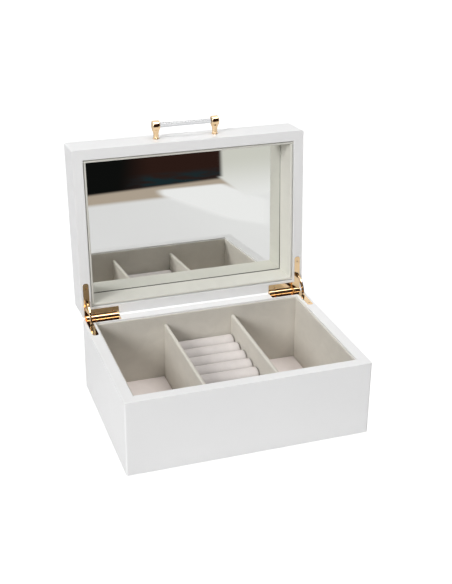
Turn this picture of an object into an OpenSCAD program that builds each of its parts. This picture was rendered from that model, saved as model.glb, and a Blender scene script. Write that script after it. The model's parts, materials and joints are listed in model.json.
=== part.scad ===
// Vanity box for jewellery, with a mirror in its lid.
// Lacquered boards mitred at the corners, suede-covered linings, three compartments with ring rolls
// in the middle one, and two mortised corner hinges whose curved stays hold the lid open.
// Millimetres. The origin is the centre of the face that the box stands on, +Z is up, -Y is the
// front. The lid is drawn open, on its stays. Its own pieces are laid out shut, then swung open.

/* [Box] */
// Overall width of the box
box_w = 250; // [210:1:300]
// Overall depth of the box, front to back
box_d = 180; // [150:1:220]
// Height of the base, from the table to its rim
base_h = 80; // [70:1:110]
// Height of the lid
lid_h = 40; // [34:1:60]
// Thickness of the base's boards
base_wall = 11.5; // [10.5:0.5:15]
// Thickness of the lid's boards
lid_wall = 11; // [10.5:0.5:15]
// Thickness of the base's bottom panel
bottom_t = 2.5; // [2:0.5:6]
// Thickness of the lid's top panel
lid_top_t = 5.5; // [3:0.5:8]
// Thickness of the felt under the base
felt_t = 0.8; // [0.5:0.1:2]
// Distance from the sides of the box to the edge of the felt
felt_inset = 2; // [1:0.5:6]
// Radius of the upright corners
corner_r = 2; // [0.5:0.1:3]
// Radius of the long outer edges
edge_r = 1.5; // [0.4:0.1:2]
// Radius of the inner edge of each rim
rim_r = 0.5; // [0.2:0.1:1]
// Gap between the two rims when the lid is shut
rim_gap = 0.6; // [0.4:0.1:1.2]
// Angle of the open lid, from shut
open_deg = 94; // [86:1:98]

/* [Linings] */
// Thickness of the base's lining panels
base_lining_t = 1.5; // [1:0.1:3]
// Depth of the lining's edge below the base's rim
base_lining_drop = 2; // [1:0.5:6]
// Thickness of the lid's lining panels
lid_lining_t = 3; // [2:0.5:5]
// Depth of the lining's edge inside the lid's rim
lid_lining_drop = 1; // [0.5:0.5:4]
// Width of the shadow groove between the lid's lining and its rim
groove_w = 1; // [0.4:0.1:1.6]
// Depth of that groove
groove_depth = 2.5; // [1:0.5:5]
// Thickness of the suede pads on the floor
floor_pad_t = 1; // [0.6:0.1:3]

/* [Compartments] */
// Thickness of a divider
divider_t = 4; // [3:0.5:6]
// Depth of the dividers' top edge below the rim
divider_drop = 12; // [4:1:25]
// Depth of the ring rolls' crests below the rim
roll_drop = 32; // [20:1:40]
// Gap between neighbouring ring rolls
roll_gap = 0.25; // [0.1:0.05:1]
// Depth of the flat on which a ring roll is glued
roll_flat = 2; // [1:0.5:4]
// Radius of a ring roll's soft ends
roll_end_r = 2.5; // [1:0.5:4]
// Clearance round the ring tray
tray_gap = 0.6; // [0.3:0.1:1.5]

/* [Mirror] */
// Thickness of the mirror
mirror_t = 2; // [1.5:0.5:4]
// Thickness of the mounting tape behind the mirror
tape_t = 0.5; // [0.3:0.1:1]
// Width of one strip of tape
tape_w = 15; // [8:1:25]
// Clearance round the mirror
mirror_gap = 0.5; // [0.2:0.1:1.5]

/* [Hinges] */
// Length of a hinge along the back of the box
hinge_len = 37; // [30:1:45]
// Distance from the side of the box to the outer edge of a leaf
leaf_inset = 2.6; // [2:0.1:3.2]
// Thickness of a leaf
leaf_t = 1.5; // [1.2:0.1:2.5]
// Width of the leg that runs along the side
side_leg_w = 6.2; // [5.8:0.1:6.6]
// Length of the base leaf's side leg
base_leg_len = 39.4; // [34:0.2:60]
// Length of the lid leaf's side leg
lid_leg_len = 38; // [34:0.2:60]
// Margin between the base leaf's back leg and the inside of the rim
base_leaf_margin = 1; // [0.5:0.5:3]
// Margin between the lid leaf's back leg and the inside of the rim
lid_leaf_margin = 2.5; // [0.5:0.5:3]
// Distance of the hinge's axis behind the back of the box
axis_back = 0.8; // [0.4:0.1:1.2]
// Radius of the knuckles
barrel_r = 2.4; // [2.2:0.1:3]
// Radius of the hinge pin
pin_r = 0.8; // [0.6:0.1:1.1]

/* [Stays] */
// Mean radius of a stay's curved arm about the hinge's axis
arm_r = 17.5; // [15:0.5:19]
// Width of the arm
arm_w = 4; // [3.8:0.2:5]
// Thickness of the arm
arm_t = 1.6; // [1.2:0.1:2]
// Radius of the stop pins at the arm's ends
stop_r = 1; // [0.8:0.1:1.2]
// Length of the stop pins
stop_len = 4.4; // [4:0.1:4.8]

/* [Handle] */
// Distance between the handle's posts
handle_pitch = 64; // [50:1:100]
// Distance of the bar's axis from the front of the lid
handle_reach = 14; // [12:0.5:25]
// Radius of the bar
bar_r = 2.5; // [2:0.1:3.5]
// Radius of a post's head
head_r = 5.2; // [4.6:0.1:7]
// Length of a post's head along the bar
head_len = 7.6; // [5.5:0.1:10]
// Radius of a post's stem
stem_r = 2.7; // [2.1:0.1:3]
// Radius of a post's foot
foot_r = 3.4; // [2.6:0.1:5]

/* [Screws] */
// Radius of a hinge screw's shank
hinge_screw_r = 1; // [0.8:0.1:1.2]
// Radius of a hinge screw's countersunk head
hinge_head_r = 1.8; // [1.5:0.1:2]
// Length of a hinge screw
hinge_screw_len = 8; // [6:0.5:10]
// Radius of a handle screw's shank
handle_screw_r = 1.5; // [1.2:0.1:1.6]
// Radius of a handle screw's head
handle_head_r = 2.8; // [2.2:0.1:3.5]

/* [Hidden] */
$fn = 48;
eps = 1;
roll_count = 8;
roll_ids = [1:roll_count];

// colours
lacquer = "#eeeef0";
greige = "#bdb8aa";
suede = "#d6cbc4";
gold = "#d9ad6e";
clear_white = "#eef1f2";
silver = "#c9d3d6";
felt_grey = "#b9b4ab";
steel = "#9a9a9c";
foam = "#e5e2dc";

// clearances
seat = 0.1;        // between a glued or mortised piece and its seat
press = 0.02;      // round a pressed or screwed shank
running = 0.05;    // round the hinge pin
swing = 0.25;      // round the other leaf's knuckles
slide = 0.6;       // round a stay's arm in its slots
stop_gap = 0.05;   // between a stop pin and its leaf

// heights of the base
board_z0 = felt_t;
floor_z = felt_t + bottom_t;
bottom_rabbet = base_wall / 2;
in_x = box_w / 2 - base_wall;                 // faces of the base's boards
in_y = box_d / 2 - base_wall;
face_x = in_x - base_lining_t;                // faces of the base's linings
face_y = in_y - base_lining_t;
bay_w = (2 * face_x - 2 * divider_t) / 3;     // three equal compartments
divider_x = (bay_w + divider_t) / 2;
divider_top = base_h - divider_drop;
divider_edge_r = 1;

// ring rolls
roll_pitch = (2 * face_y) / roll_count;
roll_r = (roll_pitch - roll_gap) / 2;
roll_z = base_h - roll_drop - roll_r;
tray_top = roll_z - roll_r + roll_flat;

// the shut lid
lid_z0 = base_h + rim_gap;
lid_z1 = lid_z0 + lid_h;
lid_in_x = box_w / 2 - lid_wall;
lid_in_y = box_d / 2 - lid_wall;
top_rabbet = lid_wall / 2;
top_z0 = lid_z1 - lid_top_t;
mirror_z1 = top_z0 - tape_t;
mirror_z0 = mirror_z1 - mirror_t;
lining_seam = 0.6;                            // dark seam between the lid's lining and the mirror

// hinges: x as on the box, y and z from the axis
axis_y = box_d / 2 + axis_back;
axis_z = base_h + rim_gap / 2;
leaf_top = rim_gap / 2;
leaf_x1 = box_w / 2 - leaf_inset;
leaf_x0 = leaf_x1 - hinge_len;
leg_x = leaf_x1 - side_leg_w / 2;
leg_end_r = 2.4;
base_back_w = base_wall - base_leaf_margin;
lid_back_w = lid_wall - lid_leaf_margin;
knuckles = 5;
knuckle_len = hinge_len / knuckles;
knuckle_gap = 0.2;
base_knuckles = [0, 2, 4];
lid_knuckles = [1, 3];
groove_gap = 0.3;

// hinge screws, from the ends of the legs
side_screw_in = 5.3;
back_screw_in = 7;
corner_screw_in = 10.8;
hinge_head_h = 1.1;
hinge_tip_h = 2;
hinge_tip_r = hinge_screw_r / 3;
pilot_extra = 0.4;
cross_len = hinge_head_r * 1.2;               // driver's cross-slot
cross_w = hinge_head_r * 0.28;
cross_deep = hinge_head_h * 0.6;

// stays
arm_ri = arm_r - arm_w / 2;
arm_ro = arm_r + arm_w / 2;
stop_deg = asin((leaf_top + leaf_t + stop_gap + stop_r) / arm_r);
arm_base_deg = 180 + stop_deg;
arm_lid_deg = 180 - open_deg - stop_deg;
sunk_deg = stop_deg + open_deg / 2;           // how far a stop pin sinks below its rim, lid shut
pocket_gap = 0.4;
pocket_w = stop_len + 2 * pocket_gap;
slot_w = arm_t + 2 * slide;
slot_corner_r = slot_w * 0.3;
slot_y0 = -(arm_ro + slide);
slot_y1 = -(sqrt(pow(arm_ri, 2) - pow(leaf_top + leaf_t, 2)) - slide);

// handle
handle_z = lid_z0 + lid_h / 2;
bar_socket = 4;
socket_gap = 0.05;
neck_r = head_r * 0.75;
head_rim = head_r * 0.2;
foot_face_h = foot_r * 0.2;                   // upright edge of the foot
foot_h = foot_r * 0.5;                        // foot and its slope up to the stem
stem_top = handle_reach - head_r * 1.7;
handle_head_h = 1.8;
handle_sink = 2;                              // depth of the counterbore inside the lid's front
handle_screw_bite = 5.5;                      // length of thread in the post

// ---- shapes shared by several pieces ----

// A rectangle with rounded corners
module rounded_rect(x0, y0, x1, y1, r) {
  translate([x0 + r, y0]) square([x1 - x0 - 2 * r, y1 - y0]);
  translate([x0, y0 + r]) square([x1 - x0, y1 - y0 - 2 * r]);
  for (x = [x0 + r, x1 - r], y = [y0 + r, y1 - r]) translate([x, y]) circle(r);
}

// What a rounding of radius r takes off a square corner at the origin
module corner_waste(r) {
  difference() {
    translate([-eps, -eps]) square(r + eps);
    translate([r, r]) circle(r);
  }
}

// Lays a profile, drawn as distance from a wall and height, along the front of the box
module run_front(len, wall_y) {
  translate([-len / 2, -wall_y, 0]) rotate([90, 0, 90]) linear_extrude(len) children();
}

// Lays the same profile along the left side of the box
module run_left(len, wall_x) {
  translate([-wall_x, len / 2, 0]) rotate([90, 0, 0]) linear_extrude(len) children();
}

module both_sides() {
  children();
  mirror([1, 0, 0]) children();
}

// Swings a piece of the shut lid open
module swung_open() {
  translate([0, axis_y, axis_z]) rotate([-open_deg, 0, 0]) translate([0, -axis_y, -axis_z])
    children();
}

// ---- boards ----

// Footprint of the front board, mitred at 45 degrees, with rounded outer corners
module front_mitre(wall) {
  w = box_w / 2;
  d = box_d / 2;
  m = wall + eps;
  intersection() {
    polygon([[-w, -d], [w, -d], [w - m, -d + m], [-w + m, -d + m]]);
    rounded_rect(-w, -d, w, d, corner_r);
  }
}

// Footprint of the left board
module left_mitre(wall) {
  w = box_w / 2;
  d = box_d / 2;
  m = wall + eps;
  intersection() {
    polygon([[-w, -d], [-w + m, -d + m], [-w + m, d - m], [-w, d]]);
    rounded_rect(-w, -d, w, d, corner_r);
  }
}

// Cross-section of a base board: x from its outer face, with the bottom panel's rabbet
module base_profile() {
  difference() {
    translate([0, board_z0]) square([base_wall, base_h - board_z0]);
    translate([0, board_z0]) corner_waste(edge_r);
    translate([0, base_h]) mirror([0, 1]) corner_waste(edge_r);
    translate([base_wall, base_h]) rotate(180) corner_waste(rim_r);
    translate([base_wall - bottom_rabbet, board_z0 - eps])
      square([bottom_rabbet + eps, bottom_t + eps]);
  }
}

// Cross-section of a lid board, with the top panel's rabbet
module lid_profile() {
  difference() {
    translate([0, lid_z0]) square([lid_wall, lid_h]);
    translate([0, lid_z0]) corner_waste(edge_r);
    translate([0, lid_z1]) mirror([0, 1]) corner_waste(edge_r);
    translate([lid_wall, lid_z0]) mirror([1, 0]) corner_waste(rim_r);
    translate([lid_wall - top_rabbet, top_z0]) square([top_rabbet + eps, lid_top_t + eps]);
  }
}

module base_front_blank() {
  intersection() {
    run_front(box_w, box_d / 2) base_profile();
    linear_extrude(base_h) front_mitre(base_wall);
  }
}

module base_left_blank() {
  intersection() {
    run_left(box_d, box_w / 2) base_profile();
    linear_extrude(base_h) left_mitre(base_wall);
  }
}

module lid_front_blank() {
  intersection() {
    run_front(box_w, box_d / 2) lid_profile();
    linear_extrude(lid_z1) front_mitre(lid_wall);
  }
}

module lid_left_blank() {
  intersection() {
    run_left(box_d, box_w / 2) lid_profile();
    linear_extrude(lid_z1) left_mitre(lid_wall);
  }
}

module case_front() {
  color(lacquer) base_front_blank();
}

module case_back() {
  color(lacquer) difference() {
    mirror([0, 1, 0]) base_front_blank();
    both_sides() base_hinge_cuts();
  }
}

module case_left() {
  color(lacquer) difference() {
    base_left_blank();
    mirror([1, 0, 0]) base_hinge_cuts();
  }
}

module case_right() {
  color(lacquer) difference() {
    mirror([1, 0, 0]) base_left_blank();
    base_hinge_cuts();
  }
}

module case_bottom() {
  x = in_x + bottom_rabbet - seat;
  y = in_y + bottom_rabbet - seat;
  color(felt_grey) translate([-x, -y, board_z0]) cube([2 * x, 2 * y, bottom_t]);
}

module case_felt() {
  x = box_w / 2 - felt_inset;
  y = box_d / 2 - felt_inset;
  color(felt_grey) linear_extrude(felt_t) rounded_rect(-x, -y, x, y, corner_r);
}

module lid_front() {
  color(lacquer) swung_open() difference() {
    lid_front_blank();
    for (side = [-1, 1]) at_post(side) handle_screw_hole();
  }
}

module lid_back() {
  color(lacquer) swung_open() difference() {
    mirror([0, 1, 0]) lid_front_blank();
    both_sides() lid_hinge_cuts();
  }
}

module lid_left() {
  color(lacquer) swung_open() difference() {
    lid_left_blank();
    mirror([1, 0, 0]) lid_hinge_cuts();
  }
}

module lid_right() {
  color(lacquer) swung_open() difference() {
    mirror([1, 0, 0]) lid_left_blank();
    lid_hinge_cuts();
  }
}

module lid_top() {
  x = lid_in_x + top_rabbet - seat;
  y = lid_in_y + top_rabbet - seat;
  color(lacquer) swung_open() translate([-x, -y, top_z0]) cube([2 * x, 2 * y, lid_top_t]);
}

// ---- linings and compartments ----

// Cross-section of a base lining panel, with a soft top edge
module base_lining_profile() {
  difference() {
    translate([0, floor_z]) square([base_lining_t, base_h - base_lining_drop - floor_z]);
    translate([base_lining_t, base_h - base_lining_drop]) rotate(180) corner_waste(base_lining_t / 2);
  }
}

module lining_front() {
  color(greige) run_front(2 * in_x, in_y) base_lining_profile();
}

module lining_back() {
  color(greige) mirror([0, 1, 0]) run_front(2 * in_x, in_y) base_lining_profile();
}

module lining_left() {
  color(greige) run_left(2 * face_y, in_x) base_lining_profile();
}

module lining_right() {
  color(greige) mirror([1, 0, 0]) run_left(2 * face_y, in_x) base_lining_profile();
}

// Pad on the floor of the left compartment
module floor_pad() {
  x0 = -face_x + seat;
  x1 = -divider_x - divider_t / 2 - seat;
  y = face_y - seat;
  translate([0, 0, floor_z]) linear_extrude(floor_pad_t) rounded_rect(x0, -y, x1, y, rim_r);
}

module floor_pad_left() {
  color(suede) floor_pad();
}

module floor_pad_right() {
  color(suede) mirror([1, 0, 0]) floor_pad();
}

// A divider with a rounded top edge, running from front to back
module divider(x) {
  translate([x, face_y, 0]) rotate([90, 0, 0]) linear_extrude(2 * face_y) difference() {
    translate([-divider_t / 2, floor_z]) square([divider_t, divider_top - floor_z]);
    translate([-divider_t / 2, divider_top]) mirror([0, 1]) corner_waste(divider_edge_r);
    translate([divider_t / 2, divider_top]) rotate(180) corner_waste(divider_edge_r);
  }
}

module divider_left() {
  color(greige) divider(-divider_x);
}

module divider_right() {
  color(greige) divider(divider_x);
}

// Block that carries the ring rolls
module ring_tray() {
  x = bay_w / 2 - tray_gap;
  y = face_y - tray_gap;
  color(suede) translate([-x, -y, floor_z]) cube([2 * x, 2 * y, tray_top - floor_z]);
}

// Half cross-section of a cylinder with rounded rims, for a turn about the y axis
module turned_profile(r, len, rim) {
  difference() {
    translate([0, -len / 2]) square([r, len]);
    translate([r, len / 2]) rotate(180) corner_waste(rim);
    translate([r, -len / 2]) mirror([1, 0]) corner_waste(rim);
  }
}

// Roll number n, counted from the front: soft ends, and a flat where it is glued to the tray
module ring_roll(n) {
  len = bay_w - 2 * tray_gap;
  y = -face_y + (n - 0.5) * roll_pitch;
  color(suede) difference() {
    translate([0, y, roll_z]) rotate([0, 90, 0]) rotate_extrude()
      turned_profile(roll_r, len, roll_end_r);
    translate([-len, y - roll_pitch, tray_top - 2 * roll_r]) cube([2 * len, 2 * roll_pitch, 2 * roll_r]);
  }
}

// Cross-section of a lid lining panel, with the groove beside the rim and a soft inner edge
module lid_lining_profile() {
  z0 = lid_z0 + lid_lining_drop;
  z1 = mirror_z0 - lining_seam;
  difference() {
    translate([0, z0]) square([lid_lining_t, z1 - z0]);
    polygon([[-eps, z0 - eps], [groove_w, z0 - eps], [groove_w, z0], [0, z0 + groove_depth],
             [-eps, z0 + groove_depth]]);
    translate([lid_lining_t, z0]) mirror([1, 0]) corner_waste(rim_r);
  }
}

module lid_lining_front() {
  color(greige) swung_open() run_front(2 * lid_in_x, lid_in_y) lid_lining_profile();
}

module lid_lining_back() {
  color(greige) swung_open() mirror([0, 1, 0]) run_front(2 * lid_in_x, lid_in_y) lid_lining_profile();
}

// Side panels fit between the front and back ones
module lid_side_lining() {
  run_left(2 * (lid_in_y - lid_lining_t), lid_in_x) lid_lining_profile();
}

module lid_lining_left() {
  color(greige) swung_open() lid_side_lining();
}

module lid_lining_right() {
  color(greige) swung_open() mirror([1, 0, 0]) lid_side_lining();
}

module mirror_glass() {
  x = lid_in_x - mirror_gap;
  y = lid_in_y - mirror_gap;
  color(silver) swung_open() translate([-x, -y, mirror_z0]) cube([2 * x, 2 * y, mirror_t]);
}

// Three strips of mounting tape
module mirror_tape() {
  span = lid_in_x - tape_w;
  y = lid_in_y - tape_w;
  color(foam) swung_open() for (x = [-span, -tape_w / 2, span - tape_w])
    translate([x, -y, mirror_z1]) cube([tape_w, 2 * y, tape_t]);
}

// ---- hinges, drawn as the right-hand leaf that lies below the axis ----

module leaf_outline(back_w, leg_len, grow) {
  x0 = leaf_x0 - grow;
  x1 = leaf_x1 + grow;
  y1 = -axis_back;
  rounded_rect(x0, y1 - back_w - grow, x1, y1, corner_r / 2);
  rounded_rect(x1 - side_leg_w - 2 * grow, y1 - leg_len - grow, x1, y1, leg_end_r);
}

// Cylinder round the axis over knuckle i, shortened at both ends by gap
module over_knuckle(i, r, gap) {
  translate([leaf_x0 + i * knuckle_len + gap, 0, 0]) rotate([0, 90, 0])
    cylinder(h = knuckle_len - 2 * gap, r = r);
}

// Places of a leaf's three screws
module at_leaf_screws(back_w, leg_len) {
  y = -axis_back - back_w / 2;
  for (p = [[leg_x, -axis_back - leg_len + side_screw_in], [leaf_x0 + back_screw_in, y],
            [leaf_x1 - corner_screw_in, y]])
    translate([p[0], p[1], -leaf_top]) children();
}

// Countersunk screw that points down, with grow added all round for its hole
module hinge_screw(grow) {
  tip_z = -hinge_screw_len - (grow > 0 ? pilot_extra : 0);
  translate([0, 0, -hinge_head_h]) cylinder(h = hinge_head_h, r1 = hinge_screw_r + grow,
                                            r2 = hinge_head_r + grow);
  translate([0, 0, tip_z + hinge_tip_h]) cylinder(h = -tip_z - hinge_tip_h, r = hinge_screw_r + grow);
  translate([0, 0, tip_z]) cylinder(h = hinge_tip_h, r1 = hinge_tip_r + grow,
                                    r2 = hinge_screw_r + grow);
}

// Cross-slot in the head of a hinge screw
module driver_cross() {
  for (a = [0, 90]) rotate(a) translate([-cross_len / 2, -cross_w / 2, -cross_deep])
    cube([cross_len, cross_w, cross_deep + eps]);
}

module leaf(back_w, leg_len, own, others) {
  difference() {
    union() {
      translate([0, 0, -leaf_top - leaf_t]) linear_extrude(leaf_t) leaf_outline(back_w, leg_len, 0);
      for (i = own) {
        over_knuckle(i, barrel_r, knuckle_gap / 2);
        translate([leaf_x0 + i * knuckle_len + knuckle_gap / 2, -axis_back - eps, -leaf_top - leaf_t])
          cube([knuckle_len - knuckle_gap, axis_back + eps, leaf_t]);
      }
    }
    for (i = others) over_knuckle(i, barrel_r + swing, 0);
    translate([leaf_x0 - eps, 0, 0]) rotate([0, 90, 0])
      cylinder(h = hinge_len + 2 * eps, r = pin_r + running);
    translate([0, 0, -leaf_top - leaf_t - eps]) linear_extrude(leaf_t + 2 * eps)
      rounded_rect(leg_x - slot_w / 2, slot_y0, leg_x + slot_w / 2, slot_y1, slot_corner_r);
    at_leaf_screws(back_w, leg_len) {
      hinge_screw(press);
      cylinder(h = eps, r = hinge_head_r + press);
    }
  }
}

// All that one hinge takes out of the wood on its side of the axis
module leaf_cuts(back_w, leg_len) {
  translate([0, 0, -leaf_top - leaf_t]) linear_extrude(leaf_t + eps) {
    leaf_outline(back_w, leg_len, seat);
    translate([leaf_x0 - seat, -axis_back - eps]) square([hinge_len + 2 * seat, 3 * eps]);
  }
  translate([leaf_x0 - groove_gap, 0, 0]) rotate([0, 90, 0])
    cylinder(h = hinge_len + 2 * groove_gap, r = barrel_r + groove_gap);
  at_leaf_screws(back_w, leg_len) hinge_screw(press);
  stay_pocket();
}

// Mortise for one end of the stay
module stay_pocket() {
  y0 = -(arm_ro + pocket_gap);
  y1 = -(arm_r * cos(sunk_deg) - arm_w / 2 - pocket_gap);
  z0 = -(arm_r * sin(sunk_deg) + arm_w / 2 + pocket_gap);
  translate([leg_x - pocket_w / 2, y0, z0]) cube([pocket_w, y1 - y0, -z0 - leaf_top]);
}

// From the axis to the base, and to the shut lid, whose leaf lies the other way up
module base_hinge() {
  translate([0, axis_y, axis_z]) children();
}

module lid_hinge() {
  translate([0, axis_y, axis_z]) mirror([0, 0, 1]) children();
}

module base_hinge_cuts() {
  base_hinge() leaf_cuts(base_back_w, base_leg_len);
}

module lid_hinge_cuts() {
  lid_hinge() leaf_cuts(lid_back_w, lid_leg_len);
}

module base_leaf() {
  base_hinge() leaf(base_back_w, base_leg_len, base_knuckles, lid_knuckles);
}

module lid_leaf() {
  lid_hinge() leaf(lid_back_w, lid_leg_len, lid_knuckles, base_knuckles);
}

module hinge_base_leaf_left() {
  color(gold) mirror([1, 0, 0]) base_leaf();
}

module hinge_base_leaf_right() {
  color(gold) base_leaf();
}

module hinge_lid_leaf_left() {
  color(gold) swung_open() mirror([1, 0, 0]) lid_leaf();
}

module hinge_lid_leaf_right() {
  color(gold) swung_open() lid_leaf();
}

module hinge_pin(side) {
  x = side > 0 ? leaf_x0 : -leaf_x1;
  color(gold) translate([x, axis_y, axis_z]) rotate([0, 90, 0]) cylinder(h = hinge_len, r = pin_r);
}

module hinge_pin_left() {
  hinge_pin(-1);
}

module hinge_pin_right() {
  hinge_pin(1);
}

module slotted_hinge_screw() {
  difference() {
    hinge_screw(0);
    driver_cross();
  }
}

module base_hinge_screws() {
  color(gold) both_sides() base_hinge()
    at_leaf_screws(base_back_w, base_leg_len) slotted_hinge_screw();
}

module lid_hinge_screws() {
  color(gold) swung_open() both_sides() lid_hinge()
    at_leaf_screws(lid_back_w, lid_leg_len) slotted_hinge_screw();
}

// ---- stays ----

// Puts a shape drawn in y and z from the hinge's axis at distance x from the middle
module at_stay(x) {
  translate([x, axis_y, axis_z]) rotate([90, 0, 90]) children();
}

// Centres of the two stop pins
module at_stops() {
  for (a = [arm_base_deg, arm_lid_deg]) translate(arm_r * [cos(a), sin(a)]) children();
}

// The curved arm, from under the base leaf to behind the open lid's leaf
module stay_arm() {
  span = arm_base_deg - arm_lid_deg;
  steps = 4;
  at_stay(leg_x - arm_t / 2) linear_extrude(arm_t) difference() {
    union() {
      intersection() {
        difference() {
          circle(arm_ro);
          circle(arm_ri);
        }
        polygon([[0, 0], for (k = [0:steps])
          let (a = arm_lid_deg + span * k / steps) 2 * arm_ro * [cos(a), sin(a)]]);
      }
      at_stops() circle(arm_w / 2);
    }
    at_stops() circle(stop_r + press);
  }
}

module stay_stops() {
  at_stay(leg_x - stop_len / 2) at_stops() cylinder(h = stop_len, r = stop_r);
}

module stay_arm_left() {
  color(gold) mirror([1, 0, 0]) stay_arm();
}

module stay_arm_right() {
  color(gold) stay_arm();
}

module stay_stops_left() {
  color(gold) mirror([1, 0, 0]) stay_stops();
}

module stay_stops_right() {
  color(gold) stay_stops();
}

// ---- handle: z runs out from the front of the shut lid ----

module at_post(side) {
  translate([side * handle_pitch / 2, -box_d / 2, handle_z]) rotate([90, 0, 0]) children();
}

// Counterbored hole through the lid's front board
module handle_screw_hole() {
  translate([0, 0, -lid_wall - eps]) cylinder(h = lid_wall + 2 * eps, r = handle_screw_r + seat);
  translate([0, 0, -lid_wall - eps]) cylinder(h = handle_sink + eps, r = handle_head_r + 2 * seat);
}

// A turned post: foot, stem and flared neck, and a barrel head that takes the bar
module handle_post(side) {
  head_x = -side * head_len / 2;
  at_post(side) difference() {
    union() {
      rotate_extrude() polygon([[0, 0], [foot_r, 0], [foot_r, foot_face_h], [stem_r, foot_h],
        [stem_r, stem_top], [neck_r, handle_reach - head_r], [neck_r, handle_reach],
        [0, handle_reach]]);
      translate([0, 0, handle_reach]) rotate([0, 90, 0]) rotate_extrude()
        turned_profile(head_r, head_len, head_rim);
    }
    translate([head_x, 0, handle_reach]) rotate([0, side * 90, 0]) translate([0, 0, -eps])
      cylinder(h = bar_socket + eps, r = bar_r + socket_gap);
    translate([0, 0, -eps]) cylinder(h = handle_screw_bite + 2 * eps, r = handle_screw_r + press);
  }
}

module handle_post_left() {
  color(gold) swung_open() handle_post(-1);
}

module handle_post_right() {
  color(gold) swung_open() handle_post(1);
}

module handle_bar() {
  len = handle_pitch - head_len + 2 * (bar_socket - socket_gap);
  color(clear_white) swung_open() translate([-len / 2, -box_d / 2 - handle_reach, handle_z])
    rotate([0, 90, 0]) cylinder(h = len, r = bar_r);
}

// Two screws put in from inside the lid, under its lining
module handle_screws() {
  color(steel) swung_open() for (side = [-1, 1]) at_post(side) {
    translate([0, 0, handle_sink - lid_wall])
      cylinder(h = lid_wall - handle_sink + handle_screw_bite, r = handle_screw_r);
    translate([0, 0, handle_sink - lid_wall - handle_head_h])
      cylinder(h = handle_head_h, r = handle_head_r);
  }
}

case_front();
case_back();
case_left();
case_right();
case_bottom();
case_felt();
lining_front();
lining_back();
lining_left();
lining_right();
floor_pad_left();
floor_pad_right();
divider_left();
divider_right();
ring_tray();
for (n = roll_ids) ring_roll(n);
hinge_base_leaf_left();
hinge_base_leaf_right();
hinge_pin_left();
hinge_pin_right();
base_hinge_screws();
stay_arm_left();
stay_arm_right();
stay_stops_left();
stay_stops_right();
lid_front();
lid_back();
lid_left();
lid_right();
lid_top();
lid_lining_front();
lid_lining_back();
lid_lining_left();
lid_lining_right();
mirror_glass();
mirror_tape();
hinge_lid_leaf_left();
hinge_lid_leaf_right();
lid_hinge_screws();
handle_post_left();
handle_post_right();
handle_bar();
handle_screws();
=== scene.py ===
"""Finish of a vanity box for jewellery, modelled round its construction.

The case and the lid are lacquered shells. Suede-covered cards line them, two dividers part the case, and
eight padded rolls hold rings. The hinges, their pins, screws and curved stays get softened edges and a
polished gold plate. Metres, +Z up, front at -Y. The lid's pieces are modelled with the lid shut, then
swung open about the hinges' axis.
"""

import json
import math

import bmesh
import bpy
from bpy.props import FloatProperty, FloatVectorProperty, PointerProperty
from bpy.types import NodeSocket, Operator, Panel, PropertyGroup
from mathutils import Matrix, Vector


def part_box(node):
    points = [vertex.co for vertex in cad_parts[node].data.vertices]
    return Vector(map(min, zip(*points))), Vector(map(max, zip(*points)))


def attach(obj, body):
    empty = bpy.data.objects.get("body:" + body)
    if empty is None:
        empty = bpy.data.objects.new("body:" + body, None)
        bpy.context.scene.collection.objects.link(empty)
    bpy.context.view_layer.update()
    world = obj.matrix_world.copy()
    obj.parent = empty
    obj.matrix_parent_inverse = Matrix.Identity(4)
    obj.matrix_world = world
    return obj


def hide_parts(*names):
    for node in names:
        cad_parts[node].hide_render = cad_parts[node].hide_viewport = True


bl_info = {
    "name": "Vanity Box",
    "version": (1, 0, 0),
    "blender": (4, 5, 0),
    "location": "3D View > Sidebar > Vanity Box",
    "description": "Models and finishes a jewellery box with a mirror in its lid",
    "category": "Object",
}

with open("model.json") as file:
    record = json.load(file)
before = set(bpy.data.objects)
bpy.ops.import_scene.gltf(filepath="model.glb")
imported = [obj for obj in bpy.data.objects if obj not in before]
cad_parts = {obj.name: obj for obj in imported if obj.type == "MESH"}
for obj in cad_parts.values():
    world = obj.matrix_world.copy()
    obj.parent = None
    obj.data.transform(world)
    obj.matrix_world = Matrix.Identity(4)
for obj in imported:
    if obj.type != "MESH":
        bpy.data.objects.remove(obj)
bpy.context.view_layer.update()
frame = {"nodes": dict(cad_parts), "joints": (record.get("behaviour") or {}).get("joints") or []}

MM = 0.001
TINY = 0.01 * MM
UP, DOWN = Vector((0, 0, 1)), Vector((0, 0, -1))

# The lid's swing, from the hinge joint
LID_HINGE = next(joint for joint in frame["joints"] if joint["name"] == "lid_hinge")
AXIS = Vector(LID_HINGE["pos_m"])
OPEN_ANGLE = math.radians(LID_HINGE["range_deg"][1])
TO_OPEN = Matrix.Translation(AXIS) @ Matrix.Rotation(-OPEN_ANGLE, 4, "X") @ Matrix.Translation(-AXIS)
TO_SHUT = TO_OPEN.inverted()


def shut_box(node):
    """Lowest and highest corner of one of the lid's nodes, with the lid shut."""
    points = [TO_SHUT @ vertex.co for vertex in frame["nodes"][node].data.vertices]
    low = Vector([min(point[axis] for point in points) for axis in range(3)])
    high = Vector([max(point[axis] for point in points) for axis in range(3)])
    return low, high


def around(boxes):
    """Lowest and highest corner of several boxes together."""
    low = Vector([min(box[0][axis] for box in boxes) for axis in range(3)])
    high = Vector([max(box[1][axis] for box in boxes) for axis in range(3)])
    return low, high


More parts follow.
